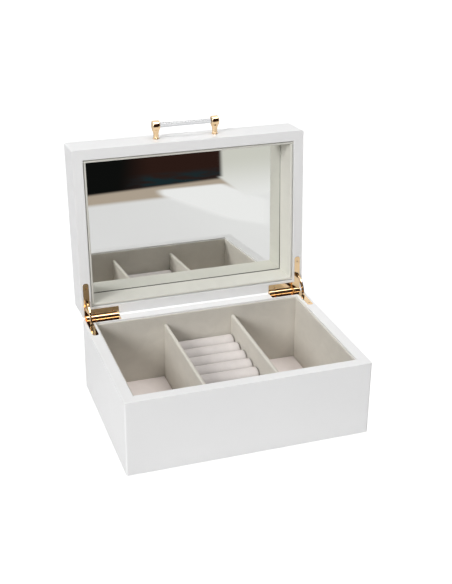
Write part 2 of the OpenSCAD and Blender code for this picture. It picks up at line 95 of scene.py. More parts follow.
# Sizes that the construction gives
SIDES = ("front", "back", "left", "right")
CASE_LOW, CASE_HIGH = around([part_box("case_" + side) for side in SIDES])
CASE_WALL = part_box("case_front")[1].y - CASE_LOW.y
FLOOR_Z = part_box("case_bottom")[1].z
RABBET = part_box("case_bottom")[1].x - (CASE_HIGH.x - CASE_WALL)
LID_LOW, LID_HIGH = around([shut_box("lid_" + side) for side in SIDES])
LID_WALL = shut_box("lid_front")[1].y - LID_LOW.y
LID_CEILING = shut_box("lid_top")[0].z
LEAF_LOW, LEAF_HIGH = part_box("hinge_base_leaf_right")
LID_LEAF_LOW = shut_box("hinge_lid_leaf_right")[0]
POST_LOW, POST_HIGH = shut_box("handle_post_right")
BAR_LOW, BAR_HIGH = shut_box("handle_bar")
ROLLS = sorted((name for name in frame["nodes"] if name.startswith("ring_roll_")),
               key=lambda name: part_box(name)[0].y)


def srgb(red, green, blue):
    """Linear colour from the 0 to 255 values of a colour picker."""
    def linear(value):
        share = value / 255
        return share / 12.92 if share <= 0.04045 else ((share + 0.055) / 1.055) ** 2.4
    return linear(red), linear(green), linear(blue)


def length(name, description, millimetres):
    return FloatProperty(name=name, description=description, default=millimetres * MM, min=0.0,
                         precision=5, unit="LENGTH")


def angle(name, description, degrees):
    return FloatProperty(name=name, description=description, default=math.radians(degrees),
                         subtype="ANGLE")


def colour(name, description, red, green, blue):
    return FloatVectorProperty(name=name, description=description, default=srgb(red, green, blue),
                               size=3, min=0.0, max=1.0, subtype="COLOR")


def power(name, description, watts):
    return FloatProperty(name=name, description=description, default=watts, min=0.0, unit="POWER")


class VanitySizes(PropertyGroup):
    corner_r: length("Corner radius", "Rounding of the upright corners", 2.0)
    edge_r: length("Edge radius", "Rounding of the long outer edges", 1.5)
    rim_r: length("Rim radius", "Rounding of the inner edge of each rim", 0.5)
    arris: length("Arris", "Softening of the mortises' edges under the lacquer", 0.12)
    leaf_t: length("Leaf thickness", "Thickness of a hinge leaf", 1.5)
    leaf_drop: length("Leaf drop", "Distance from the hinge's axis to the face of a leaf", 0.3)
    side_leg_w: length("Side leg width", "Width of the leaf's leg along the side", 6.2)
    case_leg_w: length("Case back leg width", "Width of the case leaf's leg along the back", 10.5)
    lid_leg_w: length("Lid back leg width", "Width of the lid leaf's leg along the back", 8.5)
    leg_end_r: length("Leg end radius", "Rounding of the ends of the side legs", 2.4)
    mortise_gap: length("Mortise gap", "Clearance round a leaf in its mortise", 0.1)
    groove_r: length("Groove radius", "Radius of the groove that clears the knuckles", 2.7)
    pocket_w: length("Pocket width", "Width of the mortise that a stay sinks into", 5.2)
    pocket_near: length("Pocket start", "Distance from the axis to the near end of that mortise", 7.3)
    pocket_far: length("Pocket end", "Distance from the axis to its far end", 19.9)
    pocket_deep: length("Pocket depth", "Depth of that mortise below the axis", 17.0)
    pocket_r: length("Pocket radius", "Rounding of the corners of that mortise", 0.3)
    metal_edge: length("Metal edge", "Softening of the edges of the hinges and stays", 0.14)
    card_edge: length("Card edge", "Rounding of a suede-covered card's edges", 0.7)
    lid_card_edge: length("Lid card edge", "Rounding of the lid's suede-covered strips", 0.8)
    groove_w: length("Groove width", "Width of the shadow groove between the lid's strips and rim", 1.0)
    groove_deep: length("Groove depth", "Depth of that groove", 2.5)
    binding_out: length("Binding", "How far the mirror's binding stands out over the glass", 0.2)
    divider_edge: length("Divider edge", "Rounding of the dividers' edges", 1.5)
    card_relief: length("Card relief", "Unevenness of suede glued to card", 0.12)
    relief_size: length("Relief size", "Size of the bumps in that unevenness", 28.0)
    pad_crown: length("Pad crown", "Rise of a floor pad from its edge to its middle", 1.0)
    pad_edge: length("Pad edge", "Rounding of a floor pad's rim", 0.35)
    tray_edge: length("Tray edge", "Rounding of the edges of the block under the ring rolls", 1.0)
    roll_end_r: length("Roll end radius", "Rounding of a ring roll's ends", 2.5)
    roll_relief: length("Roll relief", "Unevenness of a ring roll's cover", 0.3)
    roll_flat: length("Roll flat", "Width of the flat ring round a roll's gathered end", 2.2)
    roll_gather: length("Roll gather", "Width of the slope down to the gathered middle", 2.0)
    roll_dimple: length("Roll dimple", "Depth of the gathered middle of a roll's end", 0.5)
    glass_edge: length("Glass edge", "Polished edge of the mirror", 0.3)
    glass_lean: angle("Glass lean", "How far the mirror leans in its frame on the foam tape", 0.3)
    stem_r: length("Stem radius", "Radius of the stem of a handle post", 2.7)
    foot_r: length("Foot radius", "Radius of the foot of a handle post", 3.4)
    head_rim: length("Head rim", "Rounding of the rims of a post's head", 1.1)
    post_edge: length("Post edge", "Softening of the edges of a handle post", 0.1)
    socket_depth: length("Socket depth", "Depth of the bar's socket in a post's head", 4.0)
    socket_gap: length("Socket gap", "Clearance round the bar in its socket", 0.05)
    bar_edge: length("Bar edge", "Rounding of the ends of the clear bar", 0.3)
    felt_corner: length("Felt corner", "Rounding of the corners of the felt", 1.5)
    felt_edge: length("Felt edge", "Rounding of the felt's edges", 0.25)


class VanityColours(PropertyGroup):
    lacquer: colour("Lacquer", "Satin lacquer of the case and lid", 243, 243, 243)
    worn_lacquer: colour("Lacquer edges", "Lacquer where it is thin along the edges", 247, 246, 244)
    greige: colour("Greige suede", "Suede of the linings and dividers", 211, 207, 198)
    # Painted light: the strips round the mirror are the same greige suede as the linings, given a paler
    # copy of its colour for the stronger light and sheen they catch
    strip: colour("Lid suede", "Suede of the strips round the mirror", 222, 221, 213)
    # Painted light and shade: the pads and the rolls are one blush suede; the pads get a paler copy for
    # the light that the deep compartments lack, the rolls a darker copy for the light they catch near the
    # rim
    pad: colour("Pad suede", "Suede of the floor pads", 238, 229, 225)
    blush: colour("Roll suede", "Suede of the ring rolls and their block", 213, 207, 204)
    # Painted shade: this dark colour stands in for the shadow in the seam between the lid's strips and the
    # mirror
    shade_binding: colour("Binding", "Dark binding round the mirror", 92, 90, 82)
    gold: colour("Gold", "Polished gold plate", 238, 207, 165)
    worn_gold: colour("Gold edges", "Gold plate where the edges are rubbed bright", 244, 220, 184)
    silver: colour("Silvering", "Silvering of the mirror", 240, 241, 239)
    clear: colour("Clear bar", "Clear acrylic of the handle's bar", 250, 251, 252)
    steel: colour("Zinc", "Zinc plate of the handle's screws", 168, 168, 172)
    felt: colour("Felt", "Felt under the case", 186, 181, 172)
    board: colour("Bare board", "Unpainted board of the bottom panel", 178, 158, 130)
    foam: colour("Foam tape", "Mounting tape behind the mirror", 232, 229, 222)


class StudioSettings(PropertyGroup):
    camera_azimuth: angle("Camera azimuth", "Angle of the camera round the box, from the front", -19.14)
    camera_elevation: angle("Camera elevation", "Angle of the camera above the horizon", 25.0)
    camera_roll: angle("Camera roll", "Turn of the camera about its line of sight", 0.58)
    camera_place: FloatVectorProperty(name="Camera place", description="Where the camera stands",
                                      default=(-0.3111, -0.9063, 0.5813), size=3, unit="LENGTH")
    lens: FloatProperty(name="Lens", description="Focal length in millimetres on a 36 mm sensor",
                        default=65.48, min=1.0)
    floor: colour("Floor", "Pale floor", 244, 244, 244)
    # Painted reflections: the room, its far corner, the teal, table, warm strip, side wall and sheet glow
    # on the floor or in the world only for rays that the mirror, the gold and the clear bar send on; the
    # horizon is the grey that the clear bar shows
    room: colour("Room", "Dark room beyond the floor, that the mirror and the gold show", 46, 29, 24)
    night: colour("Room's far corner", "Darkest part of that room", 15, 16, 15)
    teal: colour("Teal", "Dark teal low in that room", 28, 44, 48)
    table: colour("Table", "Floor in front of the box, as the mirror shows it", 228, 227, 228)
    warm_strip: colour("Warm strip", "Strip of the floor in front of the room", 181, 167, 151)
    side_wall: colour("Side wall", "Pale upright surface beside the room", 213, 213, 204)
    sheet: colour("Sheet", "White sheet on the floor in front of the box", 247, 247, 247)
    horizon: colour("Horizon", "Grey that the clear bar shows from behind the box", 214, 214, 215)
    sky: FloatProperty(name="Sky", description="Strength of the white sky's light", default=0.06,
                       min=0.0)
    key: power("Key", "Soft light at the left, like a window's", 101.5)
    top: power("Top", "Large soft light overhead", 30.5)


# ---- modelling ----

# Hard and covered surfaces are smooth up to these angles, and edges above the second pair are rounded
HARD_ANGLE, COVERED_ANGLE = 35.0, 60.0
HARD_EDGE, COVERED_EDGE = 40.0, 60.0


def only(obj):
    """Select obj alone and make it active."""
    bpy.ops.object.select_all(action="DESELECT")
    obj.select_set(True)
    bpy.context.view_layer.objects.active = obj


def settle(obj):
    """Move the object's place, turn and scale into its mesh."""
    only(obj)
    bpy.ops.object.transform_apply(location=True, rotation=True, scale=True)
    return obj


def place(obj, matrix):
    """Put the mesh where the matrix says."""
    obj.matrix_world = matrix @ obj.matrix_world
    return settle(obj)


def begin(name):
    """Name the new primitive, settle it and open its mesh with nothing selected."""
    obj = bpy.context.object
    obj.name = obj.data.name = name
    settle(obj)
    bpy.ops.object.mode_set(mode="EDIT")
    bpy.ops.mesh.select_all(action="DESELECT")
    return obj


def block(name, low, high):
    """A box between two corners, with its mesh open."""
    low, high = Vector(low), Vector(high)
    bpy.ops.object.select_all(action="DESELECT")
    bpy.ops.mesh.primitive_cube_add(size=1, location=(low + high) / 2)
    bpy.context.object.scale = high - low
    return begin(name)


def rod(name, radius, low_x, high_x, y, z, sides=48):
    """A cylinder along X, with its mesh open."""
    bpy.ops.object.select_all(action="DESELECT")
    bpy.ops.mesh.primitive_cylinder_add(vertices=sides, radius=radius, depth=high_x - low_x,
                                        location=((low_x + high_x) / 2, y, z),
                                        rotation=(0, math.pi / 2, 0))
    return begin(name)


def pick(kind, test):
    """Select the faces or edges that pass the test, and nothing else."""
    bpy.ops.mesh.select_mode(type=kind)
    bpy.ops.mesh.select_all(action="DESELECT")
    mesh = bmesh.from_edit_mesh(bpy.context.object.data)
    for part in mesh.faces if kind == "FACE" else mesh.edges:
        if test(part):
            part.select_set(True)
    bmesh.update_edit_mesh(bpy.context.object.data)


def pick_all():
    bpy.ops.mesh.select_mode(type="EDGE")
    bpy.ops.mesh.select_all(action="SELECT")


def both_ends(edge, test):
    return all(test(vertex.co) for vertex in edge.verts)


def looks(face, direction):
    """Whether a face looks straight along a direction."""
    return face.normal.dot(direction) > 0.999


def pick_rims(half):
    """Select the edges round both ends of a rod that reaches as far as half along X and back."""
    pick("EDGE", lambda edge: both_ends(edge, lambda point: point.x > half - TINY)
         or both_ends(edge, lambda point: point.x < TINY - half))


def extrude(step):
    bpy.ops.mesh.extrude_region_move(TRANSFORM_OT_translate={"value": step})


def bevel(radius, segments):
    bpy.ops.mesh.bevel(offset_type="OFFSET", offset=radius, segments=segments, affect="EDGES",
                       clamp_overlap=True)


def slice_along(axis, low, high, count):
    """Cut the open mesh across an axis at even steps between low and high."""
    normal = [0.0, 0.0, 0.0]
    normal[axis] = 1.0
    for step in range(1, count):
        point = [0.0, 0.0, 0.0]
        point[axis] = low + (high - low) * step / count
        pick_all()
        bpy.ops.mesh.bisect(plane_co=point, plane_no=normal)


def close(obj, smooth_angle=HARD_ANGLE):
    """Close the open mesh, turn its faces outwards and smooth it between flat faces."""
    pick_all()
    bpy.ops.mesh.remove_doubles(threshold=TINY)
    bpy.ops.mesh.normals_make_consistent(inside=False)
    bpy.ops.object.mode_set(mode="OBJECT")
    return shade(obj, smooth_angle)


def shade(obj, smooth_angle=HARD_ANGLE):
    only(obj)
    bpy.ops.object.shade_smooth_by_angle(angle=math.radians(smooth_angle))
    return obj


def apply(obj, kind, **settings):
    """Add a modifier with these settings and apply it."""
    only(obj)
    modifier = obj.modifiers.new(kind.lower(), kind)
    for name, value in settings.items():
        setattr(modifier, name, value)
    bpy.ops.object.modifier_apply(modifier=modifier.name)
    return obj


def combine(obj, other, operation):
    """Cut the other solid out of obj, or unite the two, and remove the other."""
    apply(obj, "BOOLEAN", object=other, operation=operation, solver="EXACT")
    bpy.data.objects.remove(other)
    return obj


def round_edges(obj, width, sharper_than):
    """Round the edges of a finished solid that are sharper than that angle."""
    return apply(obj, "BEVEL", width=width, segments=2, limit_method="ANGLE",
                 angle_limit=math.radians(sharper_than))


def soften(obj, width):
    """Round the sharp edges of a hard piece and keep its flat faces flat."""
    round_edges(obj, width, HARD_EDGE)
    shade(obj)
    return apply(obj, "WEIGHTED_NORMAL", keep_sharp=True)


def unevenness(obj, height, size):
    """Make the surface slightly uneven, as glued cloth is."""
    clouds = bpy.data.textures.new(obj.name + "_unevenness", "CLOUDS")
    clouds.noise_scale = size
    clouds.noise_depth = 1
    apply(obj, "DISPLACE", texture=clouds, texture_coords="GLOBAL", strength=height, mid_level=0.5)
    bpy.data.textures.remove(clouds)
    return obj


def twin(obj, name, matrix):
    """A copy of a finished piece with its own mesh, placed by the matrix."""
    copy = obj.copy()
    copy.data = obj.data.copy()
    copy.name = copy.data.name = name
    bpy.context.scene.collection.objects.link(copy)
    return place(copy, matrix)


def mirrored(obj, name):
    """The same piece on the other side of the box."""
    copy = twin(obj, name, Matrix.Scale(-1, 4, (1, 0, 0)))
    bpy.ops.object.mode_set(mode="EDIT")
    bpy.ops.mesh.select_all(action="SELECT")
    bpy.ops.mesh.normals_make_consistent(inside=False)
    bpy.ops.object.mode_set(mode="OBJECT")
    return copy


def dress(obj, look, slot, body, *nodes):
    """Give a finished piece its material and its body, and let it stand for the construction's nodes."""
    obj.data.materials.clear()
    obj.data.materials.append(look)
    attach(obj, body)
    if nodes:
        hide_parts(*nodes)
    return obj


def dress_node(node, look):
    """Give a node of the construction that stays in view its material."""
    obj = frame["nodes"][node]
    if not obj.material_slots:
        obj.data.materials.append(look)
    for entry in obj.material_slots:
        entry.material = look


# ---- node groups and materials ----

# Most of a noise's values lie between these
NOISE_LOW, NOISE_HIGH = 0.3, 0.7
WHITE = (1.0, 1.0, 1.0, 1.0)


def add(tree, kind, values=None, **settings):
    """Add a node, set its properties, and set each input or link it to a socket."""
    node = tree.nodes.new(kind)
    for name, value in settings.items():
        setattr(node, name, value)
    for name, value in (values or {}).items():
        if isinstance(value, NodeSocket):
            tree.links.new(value, node.inputs[name])
        else:
            node.inputs[name].default_value = value
    return node


def math_node(tree, operation, first, second=0.0):
    return add(tree, "ShaderNodeMath", {0: first, 1: second}, operation=operation).outputs[0]


def mix_colours(tree, factor, first, second):
    """The two colours mixed by the factor."""
    node = add(tree, "ShaderNodeMix", {0: factor, 6: first, 7: second}, data_type="RGBA")
    return node.outputs[2]


def remap(tree, value, low, high, to_low, to_high):
    node = add(tree, "ShaderNodeMapRange", {"Value": value, "From Min": low, "From Max": high,
                                            "To Min": to_low, "To Max": to_high})
    return node.outputs["Result"]


def noise(tree, size, detail=2.0, distortion=0.0, stretch=(1.0, 1.0, 1.0)):
    """Noise in object coordinates with features of that size in metres."""
    place_in = add(tree, "ShaderNodeTexCoord").outputs["Object"]
    turned = add(tree, "ShaderNodeMapping", {"Vector": place_in, "Scale": stretch}).outputs["Vector"]
    scale = math_node(tree, "DIVIDE", 1.0, size)
    node = add(tree, "ShaderNodeTexNoise", {"Vector": turned, "Scale": scale, "Detail": detail,
                                            "Distortion": distortion})
    return node.outputs["Fac"]


def vary(tree, value, middle, amount, low=NOISE_LOW, high=NOISE_HIGH):
    """Noise between low and high, spread by the amount to both sides of the middle."""
    return remap(tree, value, low, high, math_node(tree, "SUBTRACT", middle, amount),
                 math_node(tree, "ADD", middle, amount))


def group(name, inputs, outputs):
    """An empty node group. The inputs and outputs are pairs of a name and a default value or kind."""
    tree = bpy.data.node_groups.new(name, "ShaderNodeTree")
    for label, value in inputs:
        kind = "NodeSocketColor" if isinstance(value, tuple) else "NodeSocketFloat"
        socket = tree.interface.new_socket(label, in_out="INPUT", socket_type=kind)
        socket.default_value = (*value, 1.0) if isinstance(value, tuple) else value
    for label, kind in outputs:
        tree.interface.new_socket(label, in_out="OUTPUT", socket_type="NodeSocket" + kind)
    source = tree.nodes.new("NodeGroupInput").outputs
    target = tree.nodes.new("NodeGroupOutput").inputs
    return tree, source, target


def scaled_colour(tree, tint, factor):
    node = add(tree, "ShaderNodeVectorMath", {0: tint}, operation="SCALE")
    tree.links.new(factor, node.inputs["Scale"])
    return node.outputs["Vector"]


def build_cloudy_tint():
    """A tint that drifts lighter and darker in soft patches."""
    tree, source, target = group("Cloudy Tint", [("Tint", (0.8, 0.8, 0.8)), ("Patch Size", 0.04),
                                                 ("Amount", 0.03)], [("Color", "Color")])
    factor = vary(tree, noise(tree, source["Patch Size"], detail=3.0), 1.0, source["Amount"])
    tree.links.new(scaled_colour(tree, source["Tint"], factor), target["Color"])


def build_edge_wear():
    """A second tint along the rounded edges, broken up by fine noise."""
    tree, source, target = group("Edge Wear", [("Tint", (0.8, 0.8, 0.8)), ("Worn Tint", (0.9, 0.9, 0.9)),
                                               ("Edge Size", 0.001), ("Amount", 0.5)],
                                 [("Color", "Color"), ("Mask", "Float")])
    rounded = add(tree, "ShaderNodeBevel", {"Radius": source["Edge Size"]}, samples=6).outputs["Normal"]
    true_normal = add(tree, "ShaderNodeNewGeometry").outputs["Normal"]
    facing = add(tree, "ShaderNodeVectorMath", {0: rounded, 1: true_normal},
                 operation="DOT_PRODUCT").outputs["Value"]
    edge = remap(tree, facing, 1.0, 0.8, 0.0, 1.0)
    broken = remap(tree, noise(tree, 0.002, detail=4.0), 0.35, 0.6, 0.35, 1.0)
    mask = math_node(tree, "MULTIPLY", math_node(tree, "MULTIPLY", edge, broken), source["Amount"])
    tree.links.new(mask, target["Mask"])
    tree.links.new(mix_colours(tree, mask, source["Tint"], source["Worn Tint"]), target["Color"])


def build_handling():
    """Roughness that changes where a surface has been touched and wiped."""
    tree, source, target = group("Handling", [("Roughness", 0.3), ("Spread", 0.1), ("Patch Size", 0.03)],
                                 [("Roughness", "Float")])
    patches = noise(tree, source["Patch Size"], detail=4.0, distortion=0.6)
    tree.links.new(vary(tree, patches, source["Roughness"], source["Spread"]), target["Roughness"])


def build_fine_relief():
    """Fine relief of a sprayed, polished or cast surface."""
    tree, source, target = group("Fine Relief", [("Grain Size", 0.001), ("Depth", 0.00001)],
                                 [("Normal", "Vector")])
    grain = noise(tree, source["Grain Size"], detail=2.0)
    bump = add(tree, "ShaderNodeBump", {"Height": grain, "Distance": source["Depth"], "Strength": 1.0})
    tree.links.new(bump.outputs["Normal"], target["Normal"])


def build_crease_shade():
    """Painted shade: a tint that darkens where ambient occlusion finds the creases between padded pieces.
    """
    tree, source, target = group("Painted Crease Shade", [("Tint", (0.8, 0.8, 0.8)), ("Crease Size", 0.005),
                                                  ("Amount", 0.3)], [("Color", "Color")])
    openness = add(tree, "ShaderNodeAmbientOcclusion", {"Distance": source["Crease Size"]},
                   samples=8).outputs["AO"]
    low = math_node(tree, "SUBTRACT", 1.0, source["Amount"])
    factor = remap(tree, openness, 0.2, 0.9, low, 1.0)
    tree.links.new(scaled_colour(tree, source["Tint"], factor), target["Color"])


def build_nap():
    """Brushed nap of suede or felt: fibres, and broader strokes that catch the light."""
    tree, source, target = group("Nap", [("Tint", (0.6, 0.55, 0.5)), ("Fibre Size", 0.0004),
                                         ("Stroke Size", 0.012), ("Contrast", 0.06), ("Depth", 0.0001)],
                                 [("Color", "Color"), ("Roughness", "Float"), ("Normal", "Vector")])
    fibres = noise(tree, source["Fibre Size"], detail=4.0, stretch=(1.0, 1.0, 0.55))
    strokes = noise(tree, source["Stroke Size"], detail=3.0, distortion=0.8, stretch=(1.0, 0.7, 1.3))
    brushed = scaled_colour(tree, source["Tint"], vary(tree, strokes, 1.0, source["Contrast"]))
    flecked = scaled_colour(tree, brushed, vary(tree, fibres, 1.0, source["Contrast"], 0.25, 0.75))
    tree.links.new(flecked, target["Color"])
    tree.links.new(remap(tree, strokes, NOISE_LOW, NOISE_HIGH, 0.86, 0.98), target["Roughness"])
    broad_depth = math_node(tree, "MULTIPLY", source["Depth"], 1.5)
    broad = add(tree, "ShaderNodeBump", {"Height": strokes, "Distance": broad_depth, "Strength": 1.0})
    fine = add(tree, "ShaderNodeBump", {"Height": fibres, "Distance": source["Depth"], "Strength": 1.0,
                                        "Normal": broad.outputs["Normal"]})
    tree.links.new(fine.outputs["Normal"], target["Normal"])


def use(tree, name, **values):
    """Place a node group. The keywords are its inputs, with spaces as underscores."""
    if name not in bpy.data.node_groups:
        {"Cloudy Tint": build_cloudy_tint, "Edge Wear": build_edge_wear, "Handling": build_handling,
         "Fine Relief": build_fine_relief, "Painted Crease Shade": build_crease_shade, "Nap": build_nap,
         "Reflected Floor": build_reflected_floor}[name]()
    node = tree.nodes.new("ShaderNodeGroup")
    node.node_tree = bpy.data.node_groups[name]
    for label, value in values.items():
        socket = node.inputs[label.replace("_", " ").title()]
        if isinstance(value, NodeSocket):
            tree.links.new(value, socket)
        else:
            socket.default_value = (*value, 1.0) if socket.type == "RGBA" else value
    return node.outputs


def material(name, base=None, **constants):
    """A new material and its node tree. The keywords set the shader's own sockets."""
    made = bpy.data.materials.new(name)
    made.use_nodes = True
    tree = made.node_tree
    shader = tree.nodes["Principled BSDF"]
    for label, value in constants.items():
        shader.inputs[label.replace("_", " ")].default_value = value
    if base:
        made.diffuse_color = (*base, 1.0)
    return made, tree


def link(tree, **pairs):
    """Link sockets to the shader's inputs."""
    inputs = tree.nodes["Principled BSDF"].inputs
    for label, socket in pairs.items():
        tree.links.new(socket, inputs[label.replace("_", " ")])


def finish(name):
    """The named material, made when it is first asked for."""
    return bpy.data.materials.get(name) or FINISHES[name](bpy.context.scene.vanity_colours)


def make_hard(name, tint, cloud, wear=None, handling=None, relief=None, **constants):
    """A hard surface. The cloud, wear, handling and relief are the settings of those node groups."""
    made, tree = material(name, tint, **constants)
    coloured = use(tree, "Cloudy Tint", tint=tint, **cloud)["Color"]
    if wear:
        coloured = use(tree, "Edge Wear", tint=coloured, **wear)["Color"]
    link(tree, Base_Color=coloured)
    if handling:
        link(tree, Roughness=use(tree, "Handling", **handling)["Roughness"])
    if relief:
        link(tree, Normal=use(tree, "Fine Relief", **relief)["Normal"])
    return made


def make_lacquer(colours):
    return make_hard("white_lacquer", colours.lacquer, dict(patch_size=0.07, amount=0.008),
                     wear=dict(worn_tint=colours.worn_lacquer, edge_size=0.0012, amount=0.15),
                     handling=dict(roughness=0.42, spread=0.05, patch_size=0.05),
                     relief=dict(grain_size=0.0022, depth=0.000012), Coat_Weight=0.12, Coat_Roughness=0.25)


def make_suede(name, tint, crease=0.0, **nap_settings):
    """Suede or felt. The crease is how much painted shade darkens its tint in the creases between padded
    pieces.
    """
    made, tree = material(name, tint, Sheen_Weight=0.4, Sheen_Roughness=0.5, Sheen_Tint=(*tint, 1.0),
                          Specular_IOR_Level=0.15)
    # Painted shade in the creases, from ambient occlusion
    if crease:
        tint = use(tree, "Painted Crease Shade", tint=tint, crease_size=0.005, amount=crease)["Color"]
    nap = use(tree, "Nap", tint=tint, **nap_settings)
    link(tree, Base_Color=nap["Color"], Roughness=nap["Roughness"], Normal=nap["Normal"])
    return made


def make_greige(colours):
    return make_suede("lining_suede", colours.greige, fibre_size=0.0005, stroke_size=0.014,
                      contrast=0.03, depth=0.00006)


# Painted light: a paler copy of the greige suede for the lid's strips
def make_strip(colours):
    return make_suede("strip_suede_lit", colours.strip, fibre_size=0.0005, stroke_size=0.014,
                      contrast=0.02, depth=0.00005)


# Painted light: a paler copy of the blush suede for the floor pads
def make_pad(colours):
    return make_suede("pad_suede_lit", colours.pad, fibre_size=0.0005, stroke_size=0.012,
                      contrast=0.025, depth=0.00006)


# Painted shade: a darker copy of the blush suede for the rolls and their block
def make_blush(colours):
    # The rolls get painted shade in the creases between them
    return make_suede("roll_suede_shaded", colours.blush, crease=0.35, fibre_size=0.0005, stroke_size=0.010,
                      contrast=0.035, depth=0.00007)


# Painted shade: the dark suede of the band round the mirror stands in for the shadow in its seam
def make_shade_binding(colours):
    return make_suede("painted_shade_binding", colours.shade_binding, fibre_size=0.0004, stroke_size=0.008,
                      contrast=0.08, depth=0.00005)


def make_felt(colours):
    return make_suede("grey_felt", colours.felt, fibre_size=0.0009, stroke_size=0.006,
                      contrast=0.09, depth=0.0002)


def make_gold(colours):
    return make_hard("gold_plate", colours.gold, dict(patch_size=0.006, amount=0.05),
                     wear=dict(worn_tint=colours.worn_gold, edge_size=0.0003, amount=0.7),
                     handling=dict(roughness=0.06, spread=0.03, patch_size=0.004),
                     relief=dict(grain_size=0.002, depth=0.000004), Metallic=1.0)


def make_steel(colours):
    return make_hard("zinc_steel", colours.steel, dict(patch_size=0.003, amount=0.12),
                     handling=dict(roughness=0.34, spread=0.1, patch_size=0.002), Metallic=1.0)


def make_clear(colours):
    return make_hard("clear_acrylic", colours.clear, dict(patch_size=0.01, amount=0.01),
                     handling=dict(roughness=0.03, spread=0.02, patch_size=0.006),
                     relief=dict(grain_size=0.004, depth=0.000004), Transmission_Weight=1.0, IOR=1.49)


def make_mirror(colours):
    return make_hard("silvered_glass", colours.silver, dict(patch_size=0.09, amount=0.01),
                     handling=dict(roughness=0.012, spread=0.006, patch_size=0.06), Metallic=1.0)


def make_board(colours):
    return make_hard("bare_board", colours.board, dict(patch_size=0.0015, amount=0.14),
                     relief=dict(grain_size=0.0008, depth=0.00006), Roughness=0.85)


def make_foam(colours):
    return make_hard("foam_tape", colours.foam, dict(patch_size=0.001, amount=0.08),
                     relief=dict(grain_size=0.0004, depth=0.00005), Roughness=0.9)


FINISHES = {
    "white_lacquer": make_lacquer, "lining_suede": make_greige, "strip_suede_lit": make_strip,
    "pad_suede_lit": make_pad, "roll_suede_shaded": make_blush, "painted_shade_binding": make_shade_binding,
    "grey_felt": make_felt, "gold_plate": make_gold, "zinc_steel": make_steel,
    "clear_acrylic": make_clear, "silvered_glass": make_mirror, "bare_board": make_board,
    "foam_tape": make_foam,
}


# ---- lacquered shells ----

# How many facets each rounding gets
CORNER_FACETS, EDGE_FACETS, RIM_FACETS = 6, 5, 3


def round_outside(sizes, low, high):
    """Round the upright corners of a shell, then its top and bottom outer edges."""
    def at_corner(point):
        return abs(point.x) > high.x - TINY and abs(point.y) > high.y - TINY

    def outside(point, z):
        reach = sizes.corner_r + TINY
        near_wall = abs(point.x) > high.x - reach or abs(point.y) > high.y - reach
        return abs(point.z - z) < TINY and near_wall

    pick("EDGE", lambda edge: both_ends(edge, at_corner) and edge.verts[0].co.xy == edge.verts[1].co.xy)
    bevel(sizes.corner_r, CORNER_FACETS)
    for z in (low.z, high.z):
        pick("EDGE", lambda edge: both_ends(edge, lambda point: outside(point, z)))
        bevel(sizes.edge_r, EDGE_FACETS)


def round_rim(sizes, half_width, half_depth, z):
    """Round the inner edge of a rim."""
    def inside(point):
        return (abs(point.z - z) < TINY and abs(point.x) < half_width + TINY
                and abs(point.y) < half_depth + TINY)

    pick("EDGE", lambda edge: both_ends(edge, inside))
    bevel(sizes.rim_r, RIM_FACETS)


def upright_block(name, low, high, radius):
    """A box with rounded upright edges."""
    made = block(name, low, high)
    pick("EDGE", lambda edge: abs(edge.verts[0].co.z - edge.verts[1].co.z) > TINY)
    bevel(radius, CORNER_FACETS)
    return close(made)


def cut_hinge(shell, sizes, side, up, back_leg_w, leg_end):
    """Cut the mortises, stay pocket and groove of one hinge. Up is 1 for the lid and -1 for the case."""
    gap = sizes.mortise_gap
    back = CASE_HIGH.y
    past_back = back + 1.0 * MM
    outer, inner = LEAF_HIGH.x + gap, LEAF_LOW.x - gap
    side_inner = LEAF_HIGH.x - sizes.side_leg_w - gap
    leg_x = LEAF_HIGH.x - sizes.side_leg_w / 2
    seat_z = AXIS.z + up * (sizes.leaf_drop + sizes.leaf_t)
    pocket_z = AXIS.z + up * sizes.pocket_deep

    def cut(x_low, x_high, y_low, y_high, z, radius):
        x_low, x_high = sorted((side * x_low, side * x_high))
        z_low, z_high = sorted((AXIS.z, z))
        cutter = upright_block("cutter", (x_low, y_low, z_low), (x_high, y_high, z_high), radius)
        combine(shell, cutter, "DIFFERENCE")

    cut(inner, outer, back - back_leg_w - gap, past_back, seat_z, sizes.corner_r / 2)
    cut(side_inner, outer, leg_end - gap, past_back, seat_z, sizes.leg_end_r)
    cut(leg_x - sizes.pocket_w / 2, leg_x + sizes.pocket_w / 2,
        AXIS.y - sizes.pocket_far, AXIS.y - sizes.pocket_near, pocket_z, sizes.pocket_r)
    past_leaf = 3 * gap
    low_x, high_x = sorted((side * (LEAF_LOW.x - past_leaf), side * (LEAF_HIGH.x + past_leaf)))
    combine(shell, close(rod("groove", sizes.groove_r, low_x, high_x, AXIS.y, AXIS.z)), "DIFFERENCE")


def round_and_cut(shell, sizes, low, high, wall, up, back_leg_w, leg_end):
    """Round a shell's edges and cut both its hinges. Up is 1 for the lid and -1 for the case."""
    round_outside(sizes, low, high)
    round_rim(sizes, high.x - wall, high.y - wall, low.z if up > 0 else high.z)
    close(shell)
    for side in (-1, 1):
        cut_hinge(shell, sizes, side, up, back_leg_w, leg_end)
    soften(shell, sizes.arris)


